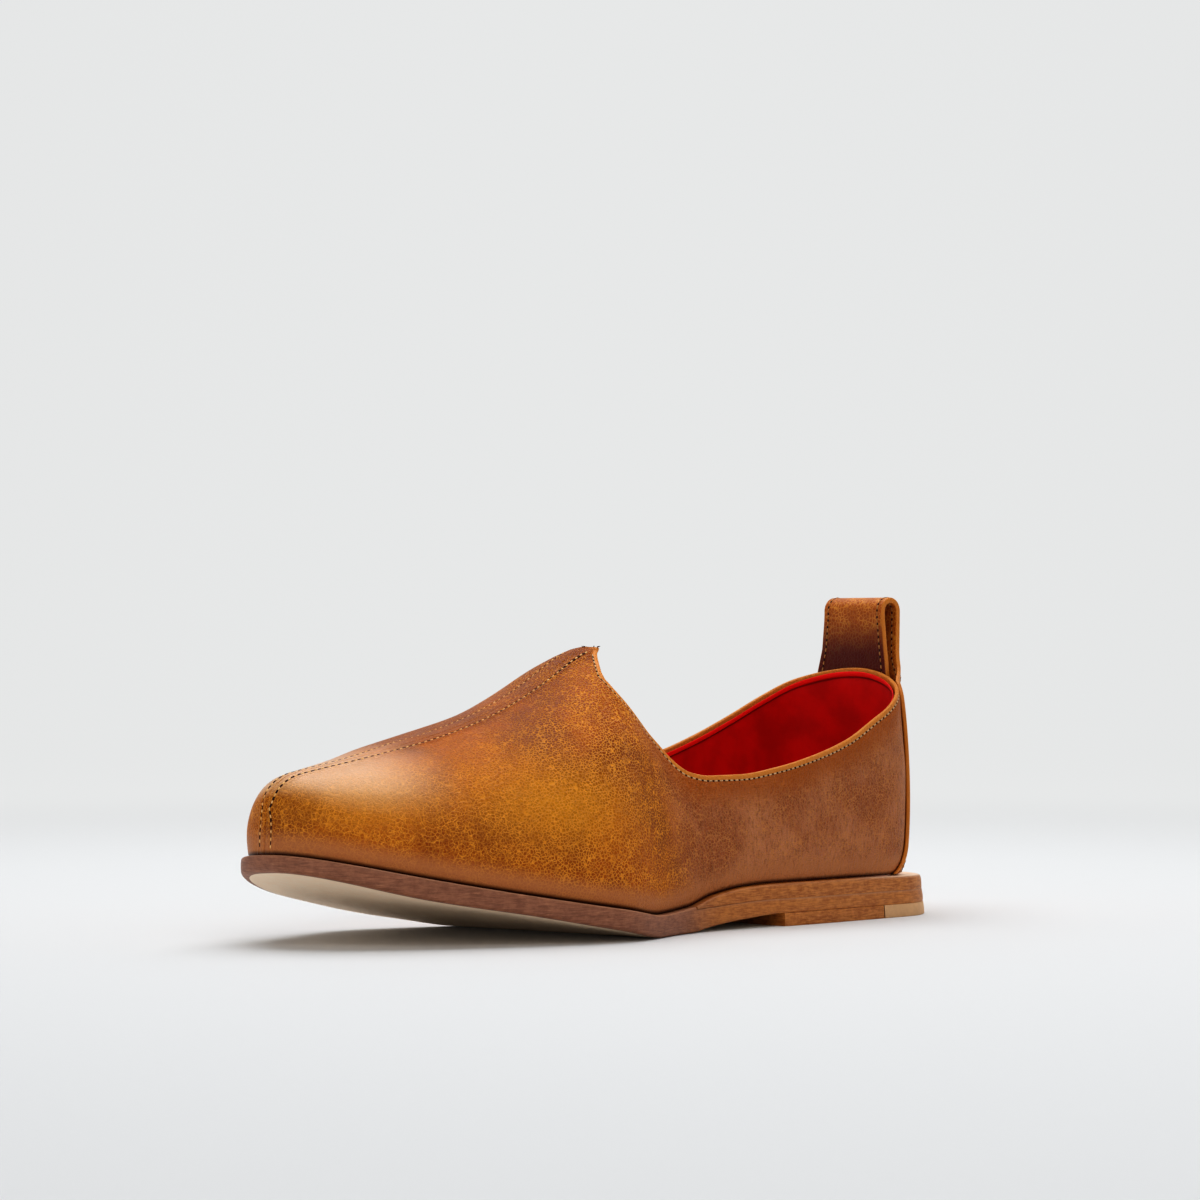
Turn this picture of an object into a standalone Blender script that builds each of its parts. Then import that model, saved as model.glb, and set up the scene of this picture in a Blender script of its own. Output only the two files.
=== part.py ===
"""Khussa: a slip-on leather shoe for the left foot, with a centre seam, a low collar and a pull loop.

Sizes are in millimetres and become metres when a mesh is made.  A station is the distance along the
shoe from the back of the heel, x is positive towards the outer (lateral) side, z is up from the floor.
In the world the toe points to -Y and the lateral side to +X.
"""

import math

import bpy
import numpy as np

# ---- driving sizes -------------------------------------------------------------------------------
LENGTH = 290.0            # sole, from the back of the heel to the toe
LEDGE = 17.4              # how far the upper stands in from the back of the heel
TOE_GAP = 1.2             # how far the upper's toe stands in from the sole's
RAND = 1.0                # how far the sole stands out beside the upper
HEEL_FLARE = 1.2          # how far the heel's foot spreads beyond its top
WALL = 2.0                # upper leather and lining together
GAP = 0.3                 # clearance between pieces that touch
THROAT = 163.3            # station of the deepest part of the throat
BACK_PEAK = 90.5          # height of the collar at the centre back
HEEL_ROUND, HEEL_POWER = 24.3, 3.1
SEAT_ROUND, SEAT_POWER = 27.0, 2.6
HEEL_TURN = 0.07          # the upper's back is turned a little: its outer side stands further back
TOE_ROUND, TOE_POWER = 56.0, 2.46
FRONT_ROUND, FRONT_SHARE, FRONT_POWER = 10.0, 0.64, 2.2
FLEX_SKEW = 0.19          # the flex line runs further forward on the inner side
TUCK, TUCK_HEIGHT = 2.2, 12.0
TOE_LEAN = 1.2
BACK_BULGE = 4.9
SEAM_HALF, SEAM_FOOT, SEAM_RAISE, SEAM_GROOVE = 1.9, 2.7, 0.7, 0.3
BEAK, BEAK_HALF = 8.6, 12.3 # the throat's middle stands out backwards over the opening
BEAK_TIP, BEAK_FADE = 1.8, 15.0
STRIP_HALF, STRIP_THICK = 23.8, 1.6
LOOP_X = -6.9              # middle of the back strip and the loop
LOOP_HALF_BASE, LOOP_HALF_TOP = 17.9, 15.2
LOOP_TOP, STRIP_TOP = 117.5, 66.8
LIFT_TOP, BREAST = 4.4, 92.5
TIP_STATION, TIP_X = 38.0, -11.0
INSOLE_THICK, INSOLE_INSET = 2.5, 4.9
WEDGE_FRONT = 138.0

# ---- sections of the last: a row for each section ----------------------------------------------
# half widths to each side of the centre line; the crest of the section, its height and place;
# the seam's place; powers of the crown on each side and of the wall
LAST_COLUMNS = ("station", "lateral", "medial", "centre", "ridge", "ridge_x", "seam_x",
                "crown_lateral", "crown_medial", "wall")
LAST = (
    (11.0, 33.0, 30.5, -4.5, 149.0, -4.5, -4.5, 2.30, 2.1, 2.40),
    (45.0, 34.3, 32.3, -3.0, 144.5, -3.0, 0.0, 2.40, 2.0, 2.42),
    (80.0, 35.4, 32.6, -1.5, 133.8, -1.5, 3.0, 2.20, 1.9, 2.38),
    (115.0, 35.1, 33.0, 0.0, 109.3, 1.0, 5.4, 1.45, 1.8, 2.20),
    (140.0, 38.1, 35.8, 0.2, 97.0, 3.2, 5.5, 0.95, 1.7, 2.10),
    (156.0, 43.2, 39.8, 0.8, 98.9, 2.8, 4.9, 1.33, 2.05, 2.12),
    (175.0, 50.0, 43.8, 1.8, 90.1, 0.4, 4.0, 1.95, 2.6, 2.17),
    (200.0, 51.8, 48.2, -0.9, 77.4, -0.8, 4.0, 2.25, 2.5, 2.21),
    (225.0, 47.3, 48.3, -4.2, 69.6, -3.9, 3.2, 2.22, 2.9, 2.30),
    (255.0, 38.3, 37.8, -6.2, 62.6, -5.5, -0.8, 2.20, 2.4, 2.42),
    (289.0, 30.9, 34.6, -8.2, 55.1, -8.2, -8.2, 2.55, 2.1, 2.64),
)

# sole: height of its tread, of the seat that carries the upper, and the thickness of the heel wedge
SOLE_COLUMNS = ("station", "tread", "seat", "wedge")
SOLE = (
    (0.0, 4.7, 14.8, 4.6),
    (60.0, 4.7, 15.5, 5.2),
    (95.0, 4.7, 15.4, 5.0),
    (110.0, 3.6, 14.8, 4.7),
    (128.0, 1.9, 12.7, 3.4),
    (146.0, 0.0, 9.1, 0.5),
    (168.0, 0.0, 8.1, 0.5),
    (195.0, 4.0, 11.6, 0.5),
    (225.0, 9.8, 16.7, 0.5),
    (258.0, 16.2, 23.5, 0.5),
    (290.0, 26.0, 31.7, 0.5),
)

# collar: height of the rim along each side, up to the throat
COLLAR_COLUMNS = ("station", "lateral", "medial")
COLLAR = (
    (16.0, 81.6, 86.8),
    (24.0, 80.3, 85.6),
    (38.0, 74.2, 80.4),
    (56.0, 65.0, 72.4),
    (74.0, 59.5, 65.4),
    (92.0, 55.9, 60.1),
    (110.0, 53.7, 56.9),
    (124.0, 53.6, 55.9),
    (131.0, 54.9, 56.9),
    (135.0, 57.2, 58.8),
    (139.0, 61.1, 62.2),
    (143.0, 65.4, 66.1),
    (148.0, 69.8, 70.3),
    (153.0, 74.9, 75.2),
    (158.0, 80.4, 80.6),
    (161.0, 84.4, 84.5),
    (163.0, 89.2, 89.2),
)

# pull loop: the open space between its two legs at each height, and the thickness of a leg
LOOP_COLUMNS = ("height", "opening", "leather")
LOOP = (
    (67.2, 0.4, 1.3),
    (76.0, 0.4, 1.9),
    (86.0, 1.6, 2.1),
    (102.0, 5.0, 2.1),
    (111.0, 6.0, 2.1),
)


def column(table, names, name):
    """One named column of a table, as an array."""
    return np.array([row[names.index(name)] for row in table])


def smooth_through(at, knots, values):
    """Natural cubic spline through the rows of a table: no bend at its two ends."""
    count = len(knots)
    step = np.diff(knots)
    matrix = np.eye(count)
    right = np.zeros(count)
    for k in range(1, count - 1):
        matrix[k, k - 1:k + 2] = step[k - 1], 2.0 * (step[k - 1] + step[k]), step[k]
        right[k] = 6.0 * ((values[k + 1] - values[k]) / step[k] - (values[k] - values[k - 1]) / step[k - 1])
    bend = np.linalg.solve(matrix, right)
    at = np.clip(np.asarray(at, float), knots[0], knots[-1])
    k = np.clip(np.searchsorted(knots, at, side="right") - 1, 0, count - 2)
    t = at - knots[k]
    h = step[k]
    slope = (values[k + 1] - values[k]) / h - h * (2.0 * bend[k] + bend[k + 1]) / 6.0
    return values[k] + t * slope + t * t * bend[k] / 2.0 + t ** 3 * (bend[k + 1] - bend[k]) / (6.0 * h)


def level_through(at, knots, values):
    """Cubic curve through the rows that never overshoots them: two equal rows give a flat stretch."""
    step = np.diff(knots)
    rise = np.diff(values) / step
    slope = np.zeros(len(knots))
    same = rise[:-1] * rise[1:] > 0.0
    safe = np.where(same, rise[:-1] + rise[1:], 1.0)
    slope[1:-1] = np.where(same, 2.0 * rise[:-1] * rise[1:] / safe, 0.0)
    slope[0], slope[-1] = rise[0], rise[-1]
    at = np.clip(np.asarray(at, float), knots[0], knots[-1])
    k = np.clip(np.searchsorted(knots, at, side="right") - 1, 0, len(knots) - 2)
    h = step[k]
    t = (at - knots[k]) / h
    return ((1.0 + 2.0 * t) * (1.0 - t) ** 2 * values[k] + t * (1.0 - t) ** 2 * h * slope[k]
            + t * t * (3.0 - 2.0 * t) * values[k + 1] + t * t * (t - 1.0) * h * slope[k + 1])


def last(name, station):
    """A column of the last, read at any station."""
    knots = column(LAST, LAST_COLUMNS, "station")
    return smooth_through(station, knots, column(LAST, LAST_COLUMNS, name))


def sole(name, station):
    """A column of the sole, read at any station."""
    knots = column(SOLE, SOLE_COLUMNS, "station")
    return level_through(station, knots, column(SOLE, SOLE_COLUMNS, name))


def side_name(side):
    """The column's name for a side: +1 is lateral, -1 medial."""
    return "lateral" if side > 0 else "medial"


def closing(distance, radius, power):
    """Share of the full width at a distance from a rounded end: 0 at the end, 1 past the radius."""
    t = np.clip(1.0 - np.asarray(distance, float) / radius, 0.0, 1.0)
    return np.maximum(1.0 - t ** power, 0.0) ** (1.0 / power)


def distance_at(share, radius, power):
    """The distance from a rounded end at which it reaches this share of its width."""
    return radius * (1.0 - (1.0 - share ** power) ** (1.0 / power))


def half_width(station, side, grow=0.0, back=LEDGE, front=LENGTH - TOE_GAP, rear=(HEEL_ROUND, HEEL_POWER)):
    """Half width of the plan to one side: the last's row, closed by a round heel and a round toe."""
    width = last(side_name(side), station) + grow
    heel = closing(station - back, *rear)
    toe = closing(front - station, TOE_ROUND, TOE_POWER)
    return width * heel * toe


def edge_x(station, side):
    """Where the upper's foot meets the sole."""
    return last("centre", station) + side * half_width(station, side)


def flexed(station, x):
    """The station at which the sole's tables are read: the flex line is skewed across the forefoot."""
    fade = np.clip((station - 105.0) / 50.0, 0.0, 1.0)
    return station + FLEX_SKEW * x * fade * fade * (3.0 - 2.0 * fade)


def tread_height(station, x):
    return sole("tread", flexed(station, x))


def seat_height(station, x):
    return sole("seat", flexed(station, x))


def arch_height(station, side):
    """Height of the section's crest above its foot, cut down towards the toe's front face."""
    full = last("ridge", station) - seat_height(station, edge_x(station, side))
    front = closing(LENGTH - TOE_GAP - station, FRONT_ROUND, FRONT_POWER)
    return full * (FRONT_SHARE + (1.0 - FRONT_SHARE) * front)


def lean(station, height):
    """Shift along the shoe: the heel's back bulges rearwards, the toe's front leans back."""
    share = np.clip(height / 75.0, 0.0, 1.0)
    heel = np.clip(1.0 - (station - LEDGE) / 60.0, 0.0, 1.0) ** 1.5
    bulge = BACK_BULGE * np.sin(math.pi * 0.78 * share ** 0.62)
    toe = np.clip(1.0 - (LENGTH - TOE_GAP - station) / 70.0, 0.0, 1.0) ** 2
    return -bulge * heel - TOE_LEAN * toe * np.clip(height / 25.0, 0.0, 2.0) ** 1.3


def heel_turn(station, x):
    """Shift along the shoe that turns the heel's back; it fades out by the waist."""
    fade = np.clip(1.0 - (station - LEDGE) / 60.0, 0.0, 1.0) ** 1.5
    return -HEEL_TURN * (x - last("centre", station)) * fade


def section_point(station, side, turn):
    """Point of the last's section: turn 0 is the foot, a quarter turn is the crest.

    Each side is a superellipse whose crown and wall have their own powers; its crest is carried over
    to the ridge, and its foot is tucked in above the sole.  Returns the shifted station, x and z.
    """
    crown = last("crown_" + side_name(side), station)
    wall = last("wall", station)
    width = half_width(station, side)
    centre = last("centre", station)
    height = arch_height(station, side) * np.sin(turn) ** (2.0 / wall)
    x = centre + side * width * np.maximum(np.cos(turn), 0.0) ** (2.0 / crown)
    x = x + (last("ridge_x", station) - centre) * np.sin(turn) ** 3
    tuck = TUCK * np.clip(1.0 - height / TUCK_HEIGHT, 0.0, 1.0) ** 2
    x = x - side * tuck * np.minimum(width / 15.0, 1.0)
    z = seat_height(station, edge_x(station, side)) + height
    return station + lean(station, height) + heel_turn(station, x), x, z


def collar_height(station, side):
    """The rim along one side, rising from the heel's corners to a low point at the centre back."""
    knots = column(COLLAR, COLLAR_COLUMNS, "station")
    values = column(COLLAR, COLLAR_COLUMNS, side_name(side))
    rim = level_through(station, knots, values)
    corner = 1.0 - closing(station - LEDGE, HEEL_ROUND, HEEL_POWER) ** 2
    return rim + (BACK_PEAK - level_through(LEDGE, knots, values)) * corner


def top_turn(station, side):
    """How far round the section the upper goes: to the rim, or ahead of the throat to the seam."""
    if station < THROAT:
        rise = collar_height(station, side) - seat_height(station, edge_x(station, side))
        share = np.clip(rise / arch_height(station, side), 0.0, 1.0)
        return math.asin(float(share) ** (last("wall", station) / 2.0))
    return math.pi / 2.0


FINE = 240                # samples along a section before it is divided evenly


def around(station, side, turn):
    """Point of the section counted from one side's foot: past a quarter turn it is on the other side."""
    near = section_point(station, side, np.minimum(turn, math.pi / 2.0))
    far = section_point(station, -side, np.minimum(math.pi - turn, math.pi / 2.0))
    past = turn > math.pi / 2.0
    return np.stack([np.where(past, f, n) for n, f in zip(near, far)], axis=-1)


def end_turn(station, side):
    """Where a row ends: at the rim behind the throat, on the seam ahead of it."""
    if station < THROAT:
        return top_turn(station, side)
    turn = np.linspace(0.0, math.pi, 2 * FINE)
    away = (around(np.full(2 * FINE, station), side, turn)[:, 1] - last("seam_x", station)) * side
    k = int(np.argmax(away <= 0.0))
    return turn[k - 1] + (turn[k] - turn[k - 1]) * away[k - 1] / max(away[k - 1] - away[k], 1e-9)


def throat_shift(station, off):
    """The throat's middle is a beak: points near the seam are drawn back along the shoe."""
    reach = BEAK * np.clip(1.0 - off / BEAK_HALF, 0.0, 1.0) ** 2
    reach = reach + BEAK_TIP * np.clip(1.0 - off / SEAM_FOOT, 0.0, 1.0) ** 2
    return -reach * max(1.0 - (station - THROAT) / BEAK_FADE, 0.0) ** 2


# shares of a row's length from the foot up, and the distances that its last lines keep from its end
RISE_SHARES = (0.0, 0.05, 0.12, 0.21, 0.31, 0.42, 0.54, 0.66, 0.78, 0.9)
END_MARKS = (12.0, 8.6, 5.4, SEAM_FOOT, SEAM_HALF, 0.0)


def section_row(station, side):
    """A row of grid points from the foot to the rim or the seam."""
    turn = np.linspace(0.0, end_turn(station, side), FINE)
    curve = around(np.full(FINE, station), side, turn)
    run = np.concatenate([[0.0], np.cumsum(np.linalg.norm(np.diff(curve, axis=0), axis=1))])
    marks = [share * (run[-1] - END_MARKS[0]) for share in RISE_SHARES] + [run[-1] - m for m in END_MARKS]
    turn = np.interp(marks, run, turn)
    moved = np.full(len(marks), station)
    if station >= THROAT:
        off = np.abs(around(moved, side, turn)[:, 1] - last("seam_x", station))
        moved = moved + throat_shift(station, off)
    return around(moved, side, turn)


def heel_stations(shares, back=LEDGE, rear=(HEEL_ROUND, HEEL_POWER)):
    return [back + float(distance_at(share, *rear)) for share in shares]


def toe_stations(shares, front=LENGTH - TOE_GAP):
    return [front - float(distance_at(share, TOE_ROUND, TOE_POWER)) for share in shares]


def upper_stations():
    """Stations of the upper: close together round the heel, at the throat and round the toe."""
    heel = heel_stations((0.0, 0.16, 0.32, 0.47, 0.61, 0.73, 0.83, 0.91, 0.97))
    waist = list(np.linspace(LEDGE + HEEL_ROUND, 124.0, 10))
    collar = [127.5, 131.0, 134.5, 138.0, 141.5, 145.0, 149.0, 153.0, 157.0, 160.0, 161.8, 162.8]
    throat = [THROAT, THROAT + 1.2, THROAT + 3.0, THROAT + 5.5, THROAT + 9.0, THROAT + 13.5]
    vamp = list(np.linspace(THROAT + 19.0, LENGTH - TOE_GAP - TOE_ROUND, 10))
    nose = last("lateral", LENGTH)
    toe = toe_stations((0.98, 0.94, 0.88, 0.81, 0.73, 0.64, 0.54, 0.43, 0.32, 0.21,
                        float(SEAM_FOOT / nose), float(SEAM_HALF / nose), 0.0))
    return heel + waist + collar + throat + vamp + toe


def quad_normals(points, quads):
    """Normals at the points: the mean of the quads round each, weighted by their size."""
    corner = points[quads]
    face = np.cross(corner[:, 2] - corner[:, 0], corner[:, 3] - corner[:, 1])
    normals = np.zeros_like(points)
    for k in range(4):
        np.add.at(normals, quads[:, k], face)
    return normals / np.maximum(np.linalg.norm(normals, axis=1), 1e-9)[:, None]


def upper_skin():
    """The upper as one open skin: points, quads, the grid of indices of each side, and stations."""
    stations = upper_stations()
    rows = {side: np.array([section_row(station, side) for station in stations]) for side in (1, -1)}
    count, across = rows[1].shape[:2]
    index = {1: np.arange(count * across).reshape(count, across)}
    medial = index[1] + count * across
    medial[0] = index[1][0]
    medial[-1] = index[1][-1]
    ahead = np.array(stations) >= THROAT
    medial[ahead, -1] = index[1][ahead, -1]
    index[-1] = medial
    points = np.concatenate([rows[1].reshape(-1, 3), rows[-1].reshape(-1, 3)])
    quads = []
    for side in (1, -1):
        grid = index[side]
        quad = np.stack([grid[:-1, :-1], grid[:-1, 1:], grid[1:, 1:], grid[1:, :-1]], axis=-1).reshape(-1, 4)
        quads.append(quad if side > 0 else quad[:, ::-1])
    return points, np.concatenate(quads), index, np.array(stations)


def placed(points):
    """Station, x and z in millimetres to world metres, the sole's plan centred on the origin."""
    station, x, z = points[:, 0], points[:, 1], points[:, 2]
    return np.stack([x - PLAN_MIDDLE, LENGTH / 2.0 - station, z], axis=1) / 1000.0


def thickened(points, quads, outer, inner):
    """A closed wall: the outer skin, the inner skin turned round, and a rim along every open edge."""
    count = len(points)
    edges = np.concatenate([quads[:, [k, (k + 1) % 4]] for k in range(4)])
    keys = np.sort(edges, axis=1)
    order = keys[:, 0] * count + keys[:, 1]
    unique, times = np.unique(order, return_counts=True)
    rim = edges[np.isin(order, unique[times == 1])]
    rims = np.stack([rim[:, 1], rim[:, 0], rim[:, 0] + count, rim[:, 1] + count], axis=1)
    faces = np.concatenate([quads, quads[:, ::-1] + count, rims])
    return np.concatenate([outer, inner]), faces


def make_object(name, points, faces, look, sharp=38.0):
    """A mesh object in world place, its doubles merged, shaded smooth but for its sharp edges."""
    mesh = bpy.data.meshes.new(name)
    used, compact = np.unique(np.concatenate([np.ravel(face) for face in faces]), return_inverse=True)
    world = placed(points[used])
    sizes = [len(face) for face in faces]
    starts = np.concatenate([[0], np.cumsum(sizes)])
    polygons = [compact[starts[k]:starts[k + 1]].tolist() for k in range(len(sizes))]
    mesh.from_pydata(world.tolist(), [], polygons)
    mesh.validate()
    item = bpy.data.objects.new(name, mesh)
    bpy.context.collection.objects.link(item)
    weld = item.modifiers.new("weld", "WELD")
    weld.merge_threshold = 0.00001
    mesh.shade_smooth()
    mesh.set_sharp_from_angle(angle=math.radians(sharp))
    mesh.materials.append(look)
    return item


def material(name, colour, roughness):
    """A plain leather, rubber or lining finish."""
    look = bpy.data.materials.new(name)
    look.use_nodes = True
    shader = look.node_tree.nodes["Principled BSDF"]
    shader.inputs["Base Color"].default_value = (*colour, 1.0)
    shader.inputs["Roughness"].default_value = roughness
    shader.inputs["Metallic"].default_value = 0.0
    return look


# ---- upper, back strip and pull loop ---------------------------------------------------------------
def make_upper(look):
    """The hollow upper: a wall round the foot, its centre seam raised, its end a small beak."""
    points, quads, index, stations = upper_skin()
    normals = quad_normals(points, quads)
    vamp = np.zeros(len(points))
    for side in (1, -1):
        vamp[index[side][stations >= THROAT]] = 1.0
    off = np.abs(points[:, 1] - last("seam_x", points[:, 0]))
    raised = np.clip((SEAM_FOOT - off) / (SEAM_FOOT - SEAM_HALF), 0.0, 1.0)
    groove = np.clip(1.0 - off / (0.6 * SEAM_HALF), 0.0, 1.0)
    lift = vamp * (SEAM_RAISE * raised - SEAM_GROOVE * groove)
    outer = points + normals * lift[:, None]
    inward = normals.copy()
    foot = np.concatenate([index[1][:, 0], index[-1][:, 0]])
    inward[foot, 2] = 0.0
    inward[foot] /= np.linalg.norm(inward[foot], axis=1)[:, None]
    inner = points - inward * WALL
    shell, faces = thickened(points, quads, outer, inner)
    return make_object("upper", shell, faces, look)


def back_surface(x, z):
    """Station of the upper's back at a place across the heel and a height."""
    side = 1 if x >= last("centre", LEDGE) else -1
    stations = LEDGE + HEEL_ROUND * np.linspace(0.0, 1.0, 80) ** 2
    rise = z - seat_height(stations, edge_x(stations, side))
    share = np.clip(rise / arch_height(stations, side), 0.0, 1.0)
    turn = np.arcsin(share ** (last("wall", stations) / 2.0))
    s, across, _ = section_point(stations, side, turn)
    return float(np.interp(side * x, side * across, s))


def make_back_strip(look):
    """The strip over the back seam, lying on the heel from the sole to the foot of the pull loop."""
    heights = np.linspace(float(seat_height(LEDGE, LOOP_X)) + 0.5, STRIP_TOP, 13)
    rows = []
    for z in heights:
        half = np.interp(z, (heights[0], 53.0, STRIP_TOP), (STRIP_HALF, STRIP_HALF - 1.5, LOOP_HALF_BASE + 1.0))
        for share in (-1.0, -0.84, -0.67, -0.5, -0.33, -0.16, 0.0, 0.16, 0.33, 0.5, 0.67, 0.84, 1.0):
            x = LOOP_X + share * half
            rows.append((back_surface(x, z), x, z))
    skin = np.array(rows)
    flat = np.arange(len(skin)).reshape(len(heights), -1)
    quads = np.stack([flat[:-1, :-1], flat[1:, :-1], flat[1:, 1:], flat[:-1, 1:]], axis=-1).reshape(-1, 4)
    normals = quad_normals(skin, quads)
    normals[flat[0], 2] = 0.0
    normals[flat[-1], 2] = 0.0
    inner = skin + normals * GAP
    outer = skin + normals * (GAP + STRIP_THICK)
    shell, faces = thickened(skin, quads, outer, inner)
    return make_object("back_strip", shell, faces, look)


def loop_sides():
    """The folded strap from the side: (distance behind the upper, height) of its outer and inner face."""
    height, opening = column(LOOP, LOOP_COLUMNS, "height"), column(LOOP, LOOP_COLUMNS, "opening")
    leather = column(LOOP, LOOP_COLUMNS, "leather")
    radius = opening[-1] / 2.0
    shoulder = LOOP_TOP - leather[-1] - radius
    up = np.linspace(height[0], shoulder, 11)
    space, thick = level_through(up, height, opening), level_through(up, height, leather)
    angle = np.linspace(0.0, math.pi, 12)[1:-1]
    clear = 1.4 * GAP
    middle = clear + leather[-1] + radius
    outer = [np.stack([np.full(11, clear), up], axis=1)]
    inner = [np.stack([clear + thick, up], axis=1)]
    for bend, size in ((outer, radius + leather[-1]), (inner, radius)):
        bend.append(np.stack([middle - size * np.cos(angle), shoulder + size * np.sin(angle)], axis=1))
    outer.append(np.stack([clear + 2.0 * thick + space, up], axis=1)[::-1])
    inner.append(np.stack([clear + thick + space, up], axis=1)[::-1])
    return np.concatenate(outer), np.concatenate(inner)


def make_pull_loop(look):
    """The pull loop: a strap folded over, both legs sewn to the back, narrower at its top."""
    outer, inner = loop_sides()
    bevel = 0.5
    shares = (-1.0, -0.82, -0.58, -0.3, 0.0, 0.3, 0.58, 0.82, 1.0)
    section = [(share, 0.0, -bevel) for share in shares] + [(1.0, 0.25, 0.0), (1.0, 0.75, 0.0)]
    section += [(share, 1.0, -bevel) for share in shares[::-1]] + [(-1.0, 0.75, 0.0), (-1.0, 0.25, 0.0)]
    points = []
    for k in range(len(outer)):
        middle = (outer[k] + inner[k]) / 2.0
        half = level_through(middle[1], np.array([66.0, 84.0, 112.0, 118.0]),
                             np.array([LOOP_HALF_BASE, LOOP_HALF_BASE, LOOP_HALF_TOP, LOOP_HALF_TOP]))
        follow = np.clip((98.0 - middle[1]) / 28.0, 0.0, 1.0)
        level = min(middle[1], BACK_PEAK - 1.0)
        base = back_surface(LOOP_X, level)
        for share, depth, inset in section:
            x = LOOP_X + share * (half + inset)
            behind, z = outer[k] + depth * (inner[k] - outer[k])
            points.append((base + follow * (back_surface(x, level) - base) - behind, x, z))
    size = len(section)
    grid = np.arange(len(points)).reshape(-1, size)
    turned = np.roll(grid, -1, axis=1)
    faces = np.stack([grid[:-1], turned[:-1], turned[1:], grid[1:]], axis=-1).reshape(-1, 4).tolist()
    faces.append(grid[0, ::-1].tolist())
    faces.append(grid[-1].tolist())
    return make_object("pull_loop", np.array(points), faces, look)


# ---- sole pieces -----------------------------------------------------------------------------------
def outline(station, side, inset, flare=0.0):
    """A point of the sole's plan, pulled in by an inset all round: station and x."""
    back = inset + HEEL_FLARE - flare
    front = LENGTH - inset
    start = np.maximum(1.0 - station / SEAT_ROUND, 0.0)
    end = np.maximum(1.0 - (LENGTH - station) / TOE_ROUND, 0.0)
    moved = station + back * start - inset * end
    width = half_width(moved, side, RAND - inset + flare, back, front, (SEAT_ROUND, SEAT_POWER))
    return moved, last("centre", moved) + side * width


def heel_fade(station):
    """1 under the heel, 0 from the waist on."""
    return np.clip((125.0 - station) / 35.0, 0.0, 1.0)


def sole_flare(station, z):
    """How far the heel has spread at a height: nothing at its top, all of it at the floor."""
    return heel_fade(station) * HEEL_FLARE * (1.0 - z / 15.0)


ACROSS = (-1.0, -0.67, -0.33, 0.0, 0.33, 0.67, 1.0)


def slab(stations, levels):
    """Rings of a sole piece: each level is (inset, height function, flare height).

    The first level is the top face's edge and the last the bottom face's; faces run across between
    the two sides, and the levels between are the steps of the side.
    """
    rings = []
    for station in stations:
        ring = []
        sides = {}
        for side in (1, -1):
            sides[side] = []
            for inset, height, flare_at in levels:
                flare = sole_flare(station, flare_at)
                s, x = outline(station, side, inset, flare)
                sides[side].append((float(s), float(x), height))
        for level, order in ((0, 1.0), (-1, -1.0)):
            s1, x1, height = sides[1][level]
            s2, x2, _ = sides[-1][level]
            for share in ACROSS:
                t = (1.0 + share * order) / 2.0
                s, x = s1 + (s2 - s1) * t, x1 + (x2 - x1) * t
                ring.append((s, x, float(height(s, x))))
            inner = sides[-1][1:-1] if order > 0 else sides[1][1:-1][::-1]
            ring += [(s, x, float(h(s, x))) for s, x, h in inner]
        rings.append(ring)
    return np.array(rings)


def ring_faces(rings, cap_back, cap_front):
    """Quads between rings, and a face over an end that doesn't come to a line."""
    count, size = rings.shape[:2]
    grid = np.arange(count * size).reshape(count, size)
    turned = np.roll(grid, -1, axis=1)
    quads = np.stack([grid[:-1], turned[:-1], turned[1:], grid[1:]], axis=-1).reshape(-1, 4)
    faces = quads.tolist()
    if cap_back:
        faces.append(grid[0, ::-1].tolist())
    if cap_front:
        faces.append(grid[-1].tolist())
    return faces


SEAT_SHARES = (0.0, 0.18, 0.36, 0.53, 0.68, 0.8, 0.9, 0.97)


def sole_stations():
    """Stations that the outsole and the wedge share."""
    heel = heel_stations(SEAT_SHARES, 0.0, (SEAT_ROUND, SEAT_POWER))
    waist = [SEAT_ROUND, 38.0, 52.0, 66.0, 80.0, BREAST, 100.0, 107.0, 113.0, 119.0, 124.0, 129.0, 134.0]
    tread = list(np.linspace(WEDGE_FRONT + 4.0, LENGTH - TOE_ROUND, 14))
    toe = toe_stations((0.97, 0.91, 0.83, 0.74, 0.64, 0.53, 0.42, 0.3, 0.18, 0.07, 0.0), LENGTH)
    return heel + waist, tread + toe


def outsole_top(station, x):
    """Top of the outsole under the wedge."""
    return seat_height(station, x) - sole("wedge", flexed(station, x)) - 2.0 * GAP


def seat_top(station, x):
    """Top of the sole under the upper."""
    return seat_height(station, x) - GAP


def make_outsole(look):
    """The outsole: one leather slab from heel to toe, with a bevelled top edge and a rounded tread edge."""
    rear, ahead = sole_stations()

    def tread(station, x):
        return tread_height(station, x)

    def levels(top):
        return (
            (0.5, top, 10.0),
            (0.0, lambda s, x: top(s, x) - 0.6, 9.6),
            (0.0, lambda s, x: tread(s, x) + 1.3, 5.5),
            (0.8, lambda s, x: tread(s, x) + 0.3, 5.0),
            (2.4, tread, 4.7),
        )

    rings = slab(rear + [WEDGE_FRONT - 0.4, WEDGE_FRONT], levels(outsole_top))
    more = slab([WEDGE_FRONT] + ahead, levels(seat_top))
    rings = np.concatenate([rings, more])
    return make_object("outsole", rings.reshape(-1, 3), ring_faces(rings, False, False), look, 50.0)


def make_wedge(look):
    """The heel seat: a wedge between outsole and upper, skived to an edge at the waist."""
    rear, _ = sole_stations()

    def foot(station, x):
        return outsole_top(station, x) + GAP

    levels = (
        (0.6, seat_top, 14.8),
        (0.1, lambda s, x: seat_top(s, x) - 0.25 * (seat_top(s, x) - foot(s, x)), 14.0),
        (0.0, lambda s, x: foot(s, x) + 0.12 * (seat_top(s, x) - foot(s, x)), 10.4),
        (0.3, foot, 10.0),
    )
    rings = slab(rear + [WEDGE_FRONT - 0.4], levels)
    return make_object("heel_wedge", rings.reshape(-1, 3), ring_faces(rings, False, True), look, 50.0)


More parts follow.
